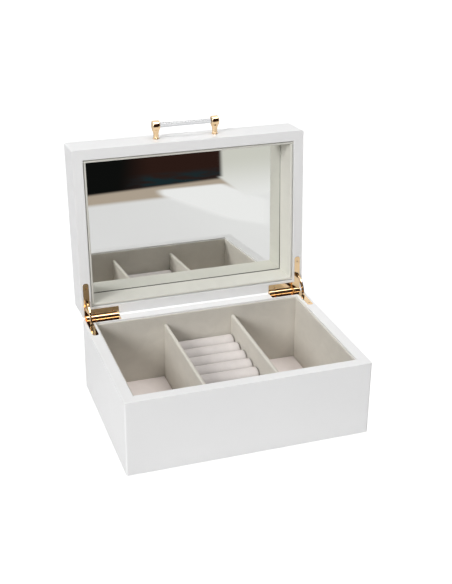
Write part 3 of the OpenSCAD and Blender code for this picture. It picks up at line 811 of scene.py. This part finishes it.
class VANITY_OT_case_shell(Operator):
    """Model the lacquered case: one continuous shell with a rabbeted bottom and the hinges' mortises"""
    bl_idname = "vanity.case_shell"
    bl_label = "Lacquered case"

    def execute(self, context):
        sizes = context.scene.vanity_sizes
        low, high = CASE_LOW, CASE_HIGH
        shell = block("case_shell", low, high)
        pick("FACE", lambda face: looks(face, UP))
        bpy.ops.mesh.inset(thickness=CASE_WALL)
        extrude((0, 0, FLOOR_Z - high.z))
        bpy.ops.mesh.delete(type="ONLY_FACE")
        pick("FACE", lambda face: looks(face, DOWN))
        bpy.ops.mesh.inset(thickness=CASE_WALL - RABBET)
        extrude((0, 0, FLOOR_Z - low.z))
        bpy.ops.mesh.inset(thickness=RABBET)
        bpy.ops.mesh.delete(type="ONLY_FACE")
        pick_all()
        bpy.ops.mesh.remove_doubles(threshold=TINY)
        round_and_cut(shell, sizes, low, high, CASE_WALL, -1, sizes.case_leg_w, LEAF_LOW.y)
        dress(shell, finish("white_lacquer"), "lacquered_board", "case",
              "case_front", "case_back", "case_left", "case_right")
        return {"FINISHED"}


class VANITY_OT_lid_shell(Operator):
    """Model the lacquered lid: walls and top as one shell, with the hinges' mortises"""
    bl_idname = "vanity.lid_shell"
    bl_label = "Lacquered lid"

    def execute(self, context):
        sizes = context.scene.vanity_sizes
        low, high = LID_LOW, LID_HIGH
        shell = block("lid_shell", low, high)
        pick("FACE", lambda face: looks(face, DOWN))
        bpy.ops.mesh.inset(thickness=LID_WALL)
        extrude((0, 0, LID_CEILING - low.z))
        round_and_cut(shell, sizes, low, high, LID_WALL, 1, sizes.lid_leg_w, LID_LEAF_LOW.y)
        place(shell, TO_OPEN)
        dress(shell, finish("white_lacquer"), "lacquered_board", "lid",
              "lid_front", "lid_back", "lid_left", "lid_right", "lid_top")
        return {"FINISHED"}


# ---- suede-covered cards, pads and rolls ----

# How often each card is cut along X, Y and Z, so that its face can be uneven
LONG_CARD, SHORT_CARD, DIVIDER_CARD, TRAY_BLOCK = (32, 1, 12), (1, 22, 12), (1, 22, 10), (10, 20, 4)
STRIP_CUTS, STRIP_DEEP_CUTS = 28, 5
ROLL_CUTS = 26
CARD_FACETS, ROLL_FACETS = 4, 8

# A floor pad, from its edge inwards: how far each step goes, and its share of the crown's rise
PAD_STEPS = ((1.2 * MM, 0.25), (4.0 * MM, 0.3), (9.0 * MM, 0.3), (12.0 * MM, 0.15))


def covered_card(sizes, name, low, high, edge, grid):
    """A suede-covered card with soft edges. The grid says how often it is cut along X, Y and Z."""
    card = block(name, low, high)
    pick_all()
    bevel(edge, CARD_FACETS)
    for axis, count in enumerate(grid):
        slice_along(axis, low[axis], high[axis], count)
    close(card, COVERED_ANGLE)
    return unevenness(card, sizes.card_relief, sizes.relief_size)


class VANITY_OT_case_lining(Operator):
    """Model the four suede-covered cards that line the case"""
    bl_idname = "vanity.case_lining"
    bl_label = "Case lining"

    def execute(self, context):
        sizes = context.scene.vanity_sizes
        for side in SIDES:
            grid = LONG_CARD if side in ("front", "back") else SHORT_CARD
            low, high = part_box("lining_" + side)
            card = covered_card(sizes, "case_card_" + side, low, high, sizes.card_edge, grid)
            dress(card, finish("lining_suede"), "greige_suede", "case", "lining_" + side)
        return {"FINISHED"}


class VANITY_OT_dividers(Operator):
    """Model the two suede-covered dividers, with round top edges"""
    bl_idname = "vanity.dividers"
    bl_label = "Dividers"

    def execute(self, context):
        sizes = context.scene.vanity_sizes
        for side in ("left", "right"):
            low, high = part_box("divider_" + side)
            name = "divider_card_" + side
            card = covered_card(sizes, name, low, high, sizes.divider_edge, DIVIDER_CARD)
            dress(card, finish("lining_suede"), "greige_suede", "case", "divider_" + side)
        return {"FINISHED"}


class VANITY_OT_floor_pads(Operator):
    """Model the two padded suede floors of the side compartments"""
    bl_idname = "vanity.floor_pads"
    bl_label = "Floor pads"

    def execute(self, context):
        sizes = context.scene.vanity_sizes
        for side in ("left", "right"):
            low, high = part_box("floor_pad_" + side)
            pad = block("suede_floor_" + side, low, high)
            pick("FACE", lambda face: looks(face, UP))
            for step, share in PAD_STEPS:
                bpy.ops.mesh.inset(thickness=step)
                bpy.ops.transform.translate(value=(0, 0, share * sizes.pad_crown))
            close(pad, COVERED_ANGLE)
            round_edges(pad, sizes.pad_edge, COVERED_EDGE)
            apply(pad, "SUBSURF", levels=3, render_levels=3)
            shade(pad, 180.0)
            dress(pad, finish("pad_suede_lit"), "blush_suede", "case", "floor_pad_" + side)
        return {"FINISHED"}


class VANITY_OT_ring_rolls(Operator):
    """Model the ring tray: a suede-covered block and its eight padded rolls"""
    bl_idname = "vanity.ring_rolls"
    bl_label = "Ring rolls"

    def execute(self, context):
        sizes = context.scene.vanity_sizes
        low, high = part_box("ring_tray")
        tray = covered_card(sizes, "ring_block", low, high, sizes.tray_edge, TRAY_BLOCK)
        dress(tray, finish("roll_suede_shaded"), "blush_suede", "case", "ring_tray")

        first_low, first_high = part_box(ROLLS[0])
        radius = (first_high.y - first_low.y) / 2
        y = (first_high.y + first_low.y) / 2
        half = first_high.x
        first = rod("suede_roll_1", radius, -half, half, y, first_high.z - radius, sides=72)
        pick_rims(half)
        bevel(sizes.roll_end_r, ROLL_FACETS)
        for end in (-1, 1):
            pick("FACE", lambda face: looks(face, Vector((end, 0, 0))))
            bpy.ops.mesh.inset(thickness=sizes.roll_flat)
            bpy.ops.mesh.inset(thickness=sizes.roll_gather)
            bpy.ops.transform.translate(value=(-end * sizes.roll_dimple, 0, 0))
        slice_along(0, -half, half, ROLL_CUTS)
        pick_all()
        bpy.ops.mesh.bisect(plane_co=(0, 0, high.z), plane_no=UP, use_fill=True, clear_inner=True)
        close(first, COVERED_ANGLE)

        rolls = [first]
        for number, node in enumerate(ROLLS[1:], start=2):
            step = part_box(node)[0].y - first_low.y
            rolls.append(twin(first, f"suede_roll_{number}", Matrix.Translation((0, step, 0))))
        for roll, node in zip(rolls, ROLLS):
            unevenness(roll, sizes.roll_relief, sizes.relief_size / 2)
            dress(roll, finish("roll_suede_shaded"), "blush_suede", "case", node)
        return {"FINISHED"}


def lid_strip(sizes, name, low, high, wall):
    """A suede-covered strip of the lid. A groove runs along its rim, on the side of the wall."""
    axis = 0 if wall.x else 1
    inner_low, inner_high = low.copy(), high.copy()
    if wall[axis] > 0:
        inner_high[axis] -= sizes.groove_w
    else:
        inner_low[axis] += sizes.groove_w
    strip = block(name, inner_low, inner_high)
    pick_all()
    groove_z = low.z + sizes.groove_deep
    bpy.ops.mesh.bisect(plane_co=(0, 0, groove_z), plane_no=UP)
    pick("FACE", lambda face: looks(face, wall) and face.calc_center_median().z > groove_z)
    extrude(wall * sizes.groove_w)

    face_at = (low if wall[axis] > 0 else high)[axis]

    def on_edge(point):
        return abs(point[axis] - face_at) < TINY and abs(point.z - low.z) < TINY

    pick("EDGE", lambda edge: both_ends(edge, on_edge))
    bevel(sizes.lid_card_edge, CARD_FACETS)
    slice_along(1 - axis, low[1 - axis], high[1 - axis], STRIP_CUTS)
    slice_along(2, low.z, high.z, STRIP_DEEP_CUTS)
    close(strip, COVERED_ANGLE)
    return unevenness(strip, sizes.card_relief, sizes.relief_size)


class VANITY_OT_lid_lining(Operator):
    """Model the four suede-covered strips that frame the mirror, and the dark band behind them, whose dark
    colour is painted shade for the seam
    """
    bl_idname = "vanity.lid_lining"
    bl_label = "Lid lining"

    def execute(self, context):
        sizes = context.scene.vanity_sizes
        walls = {"front": (0, -1, 0), "back": (0, 1, 0), "left": (-1, 0, 0), "right": (1, 0, 0)}
        for side, wall in walls.items():
            low, high = shut_box("lid_lining_" + side)
            strip = lid_strip(sizes, "lid_strip_" + side, low, high, Vector(wall))
            place(strip, TO_OPEN)
            dress(strip, finish("strip_suede_lit"), "greige_suede", "lid", "lid_lining_" + side)

        # A dark band fills the seam between the strips and the mirror; its dark colour is painted shade,
        # standing in for the shadow in that seam
        thickness = high.x - low.x
        seam = shut_box("mirror_glass")[0].z - high.z
        bpy.ops.object.select_all(action="DESELECT")
        bpy.ops.mesh.primitive_plane_add(size=2, location=(0, 0, high.z))
        bpy.context.object.scale = (LID_HIGH.x - LID_WALL, LID_HIGH.y - LID_WALL, 1)
        shade_binding = begin("mirror_shade_binding")
        bpy.ops.mesh.select_all(action="SELECT")
        bpy.ops.mesh.inset(thickness=thickness + sizes.binding_out)
        bpy.ops.mesh.delete(type="ONLY_FACE")
        bpy.ops.mesh.select_all(action="SELECT")
        extrude((0, 0, seam))
        close(shade_binding)
        place(shade_binding, TO_OPEN)
        dress(shade_binding, finish("painted_shade_binding"), "greige_suede", "lid")
        return {"FINISHED"}


# ---- mirror, metal, handle and underside ----

GLASS_FACETS, HEAD_FACETS, BAR_FACETS = 2, 5, 3
FELT_CUTS = (30, 22)


class VANITY_OT_mirror(Operator):
    """Model the mirror's glass with its polished edge, and finish the tape behind it"""
    bl_idname = "vanity.mirror"
    bl_label = "Mirror"

    def execute(self, context):
        sizes = context.scene.vanity_sizes
        low, high = shut_box("mirror_glass")
        glass = block("looking_glass", low, high)
        pick_all()
        bevel(sizes.glass_edge, GLASS_FACETS)
        close(glass)
        apply(glass, "WEIGHTED_NORMAL", keep_sharp=True)
        middle = Matrix.Translation((low + high) / 2)
        place(glass, middle @ Matrix.Rotation(sizes.glass_lean, 4, "X") @ middle.inverted())
        place(glass, TO_OPEN)
        dress(glass, finish("silvered_glass"), "mirror_glass", "lid", "mirror_glass")
        dress_node("mirror_tape", finish("foam_tape"))
        return {"FINISHED"}


def metal_piece(node, sizes):
    """A node's own shape as a piece of its own, with its flat faces merged and its edges softened."""
    piece = frame["nodes"][node].copy()
    piece.data = frame["nodes"][node].data.copy()
    for key in list(piece.keys()):
        del piece[key]
    piece.parent = None
    piece.name = piece.data.name = "gold_" + node
    bpy.context.scene.collection.objects.link(piece)
    only(piece)
    bpy.ops.object.mode_set(mode="EDIT")
    pick_all()
    bpy.ops.mesh.remove_doubles(threshold=TINY / 10)
    bpy.ops.mesh.dissolve_limited(angle_limit=math.radians(1.0))
    bpy.ops.object.mode_set(mode="OBJECT")
    return soften(piece, sizes.metal_edge)


class VANITY_OT_hinges(Operator):
    """Finish the hinges, pins, screws and stays: their own shapes, with softened edges and gold plate"""
    bl_idname = "vanity.hinges"
    bl_label = "Hinges and stays"

    def execute(self, context):
        sizes = context.scene.vanity_sizes
        parts = {
            "case": ("hinge_base_leaf_left", "hinge_base_leaf_right", "hinge_pin_left",
                     "hinge_pin_right", "base_hinge_screws"),
            "lid": ("hinge_lid_leaf_left", "hinge_lid_leaf_right", "lid_hinge_screws"),
            "stay_left": ("stay_arm_left", "stay_stops_left"),
            "stay_right": ("stay_arm_right", "stay_stops_right"),
        }
        for body, nodes in parts.items():
            for node in nodes:
                piece = metal_piece(node, sizes)
                dress(piece, finish("gold_plate"), "polished_gold", body, node)
        return {"FINISHED"}


class VANITY_OT_handle(Operator):
    """Model the handle: two turned gold posts and the clear bar between them"""
    bl_idname = "vanity.handle"
    bl_label = "Handle"

    def execute(self, context):
        sizes = context.scene.vanity_sizes
        head_r = (POST_HIGH.z - POST_LOW.z) / 2
        reach = POST_HIGH.y - POST_LOW.y - head_r
        neck_r = (POST_HIGH.x - POST_LOW.x) / 2
        post_x = (POST_HIGH.x + POST_LOW.x) / 2
        height = (POST_HIGH.z + POST_LOW.z) / 2
        bar_r = (BAR_HIGH.z - BAR_LOW.z) / 2
        inner_x = BAR_HIGH.x - sizes.socket_depth
        half_head = post_x - inner_x

        # Foot, stem and flared neck, as radius and height above the lid's front
        foot_r, stem_r = sizes.foot_r, sizes.stem_r
        turned = [(0.95 * foot_r, 0.0), (foot_r, 0.15 * foot_r), (0.93 * foot_r, 0.27 * foot_r),
                  (stem_r, 0.45 * foot_r),
                  (stem_r, reach - 1.75 * head_r), (1.08 * stem_r, reach - 1.55 * head_r),
                  (0.83 * neck_r, reach - 1.22 * head_r), (0.96 * neck_r, reach - 1.05 * head_r),
                  (neck_r, reach - 0.9 * head_r), (neck_r, reach)]
        radius, z = turned[0]
        bpy.ops.object.select_all(action="DESELECT")
        bpy.ops.mesh.primitive_circle_add(vertices=48, radius=radius, fill_type="NGON")
        post = begin("handle_post_turned_right")
        bpy.ops.mesh.select_all(action="SELECT")
        for next_radius, next_z in turned[1:]:
            extrude((0, 0, next_z - z))
            share = next_radius / radius
            bpy.ops.transform.resize(value=(share, share, 1))
            radius, z = next_radius, next_z
        close(post)

        # The head, a short barrel with round rims and a socket for the bar on its inner side
        head = rod("head", head_r, -half_head, half_head, 0, reach, sides=64)
        pick_rims(half_head)
        bevel(sizes.head_rim, HEAD_FACETS)
        pick("FACE", lambda face: looks(face, Vector((-1, 0, 0))))
        bpy.ops.mesh.inset(thickness=head_r - sizes.head_rim - bar_r - sizes.socket_gap)
        extrude((sizes.socket_depth, 0, 0))
        close(head)
        combine(post, head, "UNION")
        soften(post, sizes.post_edge)
        upright_to_front = Matrix.Rotation(math.pi / 2, 4, "X")
        place(post, Matrix.Translation((post_x, LID_LOW.y, height)) @ upright_to_front)
        other = mirrored(post, "handle_post_turned_left")

        bar = rod("handle_bar_clear", bar_r, BAR_LOW.x, BAR_HIGH.x, LID_LOW.y - reach, height)
        pick_rims(BAR_HIGH.x)
        bevel(sizes.bar_edge, BAR_FACETS)
        close(bar)

        for piece, look, slot, node in (
                (post, "gold_plate", "polished_gold", "handle_post_right"),
                (other, "gold_plate", "polished_gold", "handle_post_left"),
                (bar, "clear_acrylic", "clear_bar", "handle_bar")):
            place(piece, TO_OPEN)
            dress(piece, finish(look), slot, "lid", node)
        dress_node("handle_screws", finish("zinc_steel"))
        return {"FINISHED"}


class VANITY_OT_underside(Operator):
    """Model the felt under the case and finish the bottom panel"""
    bl_idname = "vanity.underside"
    bl_label = "Underside"

    def execute(self, context):
        sizes = context.scene.vanity_sizes
        low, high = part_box("case_felt")
        felt = upright_block("felt_sheet", low, high, sizes.felt_corner)
        bpy.ops.object.mode_set(mode="EDIT")
        for axis, count in enumerate(FELT_CUTS):
            slice_along(axis, low[axis], high[axis], count)
        close(felt)
        round_edges(felt, sizes.felt_edge, COVERED_EDGE)
        shade(felt, COVERED_ANGLE)
        dress(felt, finish("grey_felt"), "felt", "case", "case_felt")
        dress_node("case_bottom", finish("bare_board"))
        return {"FINISHED"}


# ---- studio ----

FLOOR_SIZE, FLOOR_DROP = 8.0, 0.2 * MM
BOX_MIDDLE = (0.0, 0.0, 0.08)
KEY_PLACE, KEY_SIZE = (-2.97, -2.24, 2.0), 1.6
TOP_PLACE, TOP_SIZE = (0.1, -0.18, 2.2), 1.8
SENSOR_WIDTH = 36.0

# The share of even white in the floor that is seen, the distance at which it grows to the whole, and its
# strength in reflections and to the camera
EVEN_SHARE, FADE_AT, FADE_WIDTH = 0.55, 1.4, 0.8
REFLECTED_STRENGTH, CAMERA_STRENGTH = 1.0, 1.6


def camera_matrix(studio):
    """Where the camera stands and looks, from its azimuth, elevation and roll."""
    turn, rise = studio.camera_azimuth, studio.camera_elevation
    back = Vector((math.sin(turn) * math.cos(rise), -math.cos(turn) * math.cos(rise), math.sin(rise)))
    right = Vector((math.cos(turn), math.sin(turn), 0))
    up = back.cross(right)
    level = Matrix((right, up, back)).transposed().to_4x4()
    return Matrix.Translation(studio.camera_place) @ level @ Matrix.Rotation(studio.camera_roll, 4, "Z")


def soft_lamp(name, place_at, size, watts):
    """A large round lamp that points at the middle of the box."""
    lamp = bpy.data.lights.new(name, "AREA")
    lamp.shape = "DISK"
    lamp.size = size
    lamp.energy = watts
    obj = bpy.data.objects.new(name, lamp)
    bpy.context.scene.collection.objects.link(obj)
    obj.location = place_at
    obj.rotation_euler = (Vector(BOX_MIDDLE) - Vector(place_at)).to_track_quat("-Z", "Y").to_euler()


def seen_directly(tree):
    """1 for rays from the camera and for those that metal and glass send on, 0 for the light's own."""
    path = add(tree, "ShaderNodeLightPath").outputs
    seen = math_node(tree, "MAXIMUM", path["Is Camera Ray"], path["Is Glossy Ray"])
    return math_node(tree, "MAXIMUM", seen, path["Is Transmission Ray"])


def step_up(tree, value, edge, width):
    """0 below the edge and 1 above it, with a soft step of that width between."""
    ends = {"Value": value, "From Min": edge - width / 2, "From Max": edge + width / 2}
    return add(tree, "ShaderNodeMapRange", ends, interpolation_type="SMOOTHSTEP").outputs["Result"]


def step_down(tree, value, edge, width):
    return math_node(tree, "SUBTRACT", 1.0, step_up(tree, value, edge, width))


def times(tree, first, *others):
    for other in others:
        first = math_node(tree, "MULTIPLY", first, other)
    return first


def beyond_line(tree, x, y, start, end, width):
    """1 on the left of the line from start to end on the floor, 0 on its right, with a soft step."""
    along = (Vector(end) - Vector(start)).normalized()
    offset = along.x * start[1] - along.y * start[0]
    across = math_node(tree, "SUBTRACT", math_node(tree, "MULTIPLY", y, along.x),
                       math_node(tree, "MULTIPLY", x, along.y))
    return step_up(tree, across, offset, width)


# Painted reflection that the mirror shows on the floor in front of the box: the corners of a white sheet,
# anticlockwise
SHEET = ((0.205, -0.755), (0.336, -0.753), (0.367, -0.577), (0.301, -0.405), (0.251, -0.476),
         (0.194, -0.712))
SHEET_SOFTNESS = 0.025

# Slanting edges there, each as two places on it and its softness: the near and the far side of the warm
# strip, the room's darkest part, the teal beside that part, and the side wall's own, along the room and
# along the strip
STRIP_EDGE = ((0.288, -0.687), (0.043, -0.677), 0.04)
FAR_EDGE = ((0.345, -0.802), (0.072, -0.768), 0.03)
NIGHT_EDGE = ((0.169, -0.802), (0.252, -1.125), 0.08)
TEAL_EDGE = (*NIGHT_EDGE[:2], 0.06)
ROOM_EDGE = ((0.350, -0.802), (0.456, -1.125), 0.012)
WALL_EDGE = ((0.338, -0.624), (0.348, -0.802), 0.012)

# Edges straight across, each as a place and its softness, and where the table and the wall turn white
TEAL_END, ROOM_FRONT = (-0.895, 0.08), (-0.802, 0.02)
WALL_FRONT, WALL_BACK = (-0.624, 0.06), (-0.822, 0.02)
TABLE_FADE, WALL_FADE = (0.2, 0.3), (-0.78, 0.5)
TEAL_PATCH = 0.05

# Limits of the dark room painted into the world as a reflection, as parts of a direction and their
# softness: its top, its side towards the back and its left side. The last is the top of the grey behind
# the box.
DARK_TOP, DARK_BACK, DARK_LEFT, GREY_TOP = (0.91, 0.08), (-0.15, 0.2), (-0.78, 0.1), (0.5, 0.5)


def build_reflected_floor():
    """Painted reflection: the room that the mirror and the metal see on the floor, and how far it hides
    the floor's own light.
    """
    labels = ("Table", "Warm Strip", "Room", "Night", "Teal", "Side Wall", "Sheet")
    tree, source, target = group("Reflected Floor", [(label, (0.5, 0.5, 0.5)) for label in labels],
                                 [("Color", "Color"), ("Mask", "Float")])
    place_in = add(tree, "ShaderNodeTexCoord").outputs["Object"]
    axes = add(tree, "ShaderNodeSeparateXYZ", {"Vector": place_in}).outputs
    x, y = axes["X"], axes["Y"]

    def beyond(start, end, softness):
        return beyond_line(tree, x, y, start, end, softness)

    sheet = times(tree, *(beyond(start, end, SHEET_SOFTNESS)
                          for start, end in zip(SHEET, SHEET[1:] + SHEET[:1])))
    warm = beyond(*STRIP_EDGE)
    room = mix_colours(tree, beyond(*NIGHT_EDGE), source["Night"], source["Room"])
    teal = times(tree, step_up(tree, y, *TEAL_END), beyond(*TEAL_EDGE),
                 remap(tree, noise(tree, TEAL_PATCH), 0.4, 0.6, 0.2, 1.0))
    room = mix_colours(tree, teal, room, source["Teal"])
    tint = mix_colours(tree, step_up(tree, x, *TABLE_FADE), source["Table"], source["Sheet"])
    tint = mix_colours(tree, warm, tint, source["Warm Strip"])
    tint = mix_colours(tree, sheet, tint, source["Sheet"])
    tint = mix_colours(tree, beyond(*FAR_EDGE), tint, room)
    beside_room = times(tree, step_down(tree, y, *ROOM_FRONT), beyond(*ROOM_EDGE))
    beside_strip = times(tree, step_down(tree, y, *WALL_FRONT), beyond(*WALL_EDGE),
                         step_up(tree, y, *WALL_BACK))
    side = math_node(tree, "MAXIMUM", beside_room, beside_strip)
    wall = mix_colours(tree, step_up(tree, y, *WALL_FADE), source["Side Wall"], source["Sheet"])
    tree.links.new(mix_colours(tree, side, tint, wall), target["Color"])
    covered = math_node(tree, "MAXIMUM", math_node(tree, "MAXIMUM", warm, sheet), side)
    tree.links.new(covered, target["Mask"])


def make_floor(studio):
    """A pale floor that keeps the box's shadow and reads as white to the camera, and glows for the mirror
    and the metal with a painted reflection of a table, a sheet and a dark room.
    """
    made, tree = material("pale_floor", studio.floor, Roughness=0.9, Specular_IOR_Level=0.1)
    cloudy = use(tree, "Cloudy Tint", tint=studio.floor, patch_size=0.2, amount=0.006)
    link(tree, Base_Color=cloudy["Color"])
    from_camera = add(tree, "ShaderNodeLightPath").outputs["Is Camera Ray"]
    reflected = use(tree, "Reflected Floor", table=studio.table, warm_strip=studio.warm_strip,
                    room=studio.room, night=studio.night, teal=studio.teal, side_wall=studio.side_wall,
                    sheet=studio.sheet)
    tint = mix_colours(tree, from_camera, reflected["Color"], WHITE)
    strength = remap(tree, from_camera, 0.0, 1.0, REFLECTED_STRENGTH, CAMERA_STRENGTH)
    even = add(tree, "ShaderNodeEmission", {"Color": tint, "Strength": strength})
    covered = times(tree, reflected["Mask"], math_node(tree, "SUBTRACT", 1.0, from_camera))
    place_in = add(tree, "ShaderNodeTexCoord").outputs["Object"]
    away = add(tree, "ShaderNodeVectorMath", {0: place_in}, operation="LENGTH").outputs["Value"]
    whole = math_node(tree, "MAXIMUM", covered, step_up(tree, away, FADE_AT, FADE_WIDTH))
    share = times(tree, seen_directly(tree), remap(tree, whole, 0.0, 1.0, EVEN_SHARE, 1.0))
    blend = add(tree, "ShaderNodeMixShader", {0: share, 1: tree.nodes["Principled BSDF"].outputs[0],
                                              2: even.outputs[0]})
    tree.links.new(blend.outputs[0], tree.nodes["Material Output"].inputs["Surface"])
    return made


def light_the_room(world, studio):
    """White surroundings, with a painted reflection: a dark room in front of the box for metal, and a grey
    one behind it for glass.
    """
    tree = world.node_tree
    background = tree.nodes["Background"]
    path = add(tree, "ShaderNodeLightPath").outputs
    toward = add(tree, "ShaderNodeTexCoord").outputs["Generated"]
    axes = add(tree, "ShaderNodeSeparateXYZ", {"Vector": toward}).outputs

    dark = times(tree, step_down(tree, axes["Z"], *DARK_TOP), step_down(tree, axes["Y"], *DARK_BACK),
                 step_up(tree, axes["X"], *DARK_LEFT), path["Is Glossy Ray"])
    grey = times(tree, step_down(tree, axes["Z"], *GREY_TOP), path["Is Transmission Ray"])
    tint = mix_colours(tree, dark, WHITE, (*studio.room, 1.0))
    tint = mix_colours(tree, grey, tint, (*studio.horizon, 1.0))
    tree.links.new(tint, background.inputs["Color"])
    tree.links.new(remap(tree, seen_directly(tree), 0.0, 1.0, studio.sky, 1.0),
                   background.inputs["Strength"])


class VANITY_OT_studio(Operator):
    """Make the stage: a pale floor, white surroundings, a painted dark room to reflect, lamps and the
    camera
    """
    bl_idname = "vanity.studio"
    bl_label = "Studio"

    def execute(self, context):
        scene = context.scene
        studio = scene.vanity_studio
        bpy.ops.object.select_all(action="DESELECT")
        bpy.ops.mesh.primitive_plane_add(size=FLOOR_SIZE, location=(0, 0, -FLOOR_DROP))
        floor = bpy.context.object
        floor.name = "studio_floor"
        floor.data.materials.append(make_floor(studio))

        soft_lamp("key_lamp", KEY_PLACE, KEY_SIZE, studio.key)
        soft_lamp("top_lamp", TOP_PLACE, TOP_SIZE, studio.top)

        world = bpy.data.worlds.new("white_surroundings")
        scene.world = world
        world.use_nodes = True
        light_the_room(world, studio)

        camera = bpy.data.objects.new("camera", bpy.data.cameras.new("camera"))
        scene.collection.objects.link(camera)
        camera.data.lens = studio.lens
        camera.data.sensor_width = SENSOR_WIDTH
        camera.matrix_world = camera_matrix(studio)
        scene.camera = camera
        scene.view_settings.view_transform = "Standard"
        return {"FINISHED"}


PIECES = (
    VANITY_OT_case_shell, VANITY_OT_lid_shell, VANITY_OT_case_lining, VANITY_OT_dividers,
    VANITY_OT_floor_pads, VANITY_OT_ring_rolls, VANITY_OT_lid_lining, VANITY_OT_mirror,
    VANITY_OT_hinges, VANITY_OT_handle, VANITY_OT_underside, VANITY_OT_studio,
)


class VANITY_PT_panel(Panel):
    """Lists the sizes, the colours, the stage and the pieces in the order in which they are made"""
    bl_idname = "VANITY_PT_panel"
    bl_label = "Vanity Box"
    bl_space_type = "VIEW_3D"
    bl_region_type = "UI"
    bl_category = "Vanity Box"

    def draw(self, context):
        for title, settings in (("Sizes", context.scene.vanity_sizes),
                                ("Colours", context.scene.vanity_colours),
                                ("Studio", context.scene.vanity_studio)):
            box = self.layout.box()
            box.label(text=title)
            for name in settings.__annotations__:
                box.prop(settings, name)
        for piece in PIECES:
            self.layout.operator(piece.bl_idname)


GROUPS = {"vanity_sizes": VanitySizes, "vanity_colours": VanityColours, "vanity_studio": StudioSettings}


def register():
    for item in (*GROUPS.values(), *PIECES, VANITY_PT_panel):
        bpy.utils.register_class(item)
    for name, settings in GROUPS.items():
        setattr(bpy.types.Scene, name, PointerProperty(type=settings))


def unregister():
    for name in GROUPS:
        delattr(bpy.types.Scene, name)
    for item in (VANITY_PT_panel, *reversed(PIECES), *GROUPS.values()):
        bpy.utils.unregister_class(item)


def main():
    """Make every piece in order."""
    register()
    for piece in PIECES:
        family, name = piece.bl_idname.split(".")
        getattr(getattr(bpy.ops, family), name)()


if __name__ == "__main__":
    main()
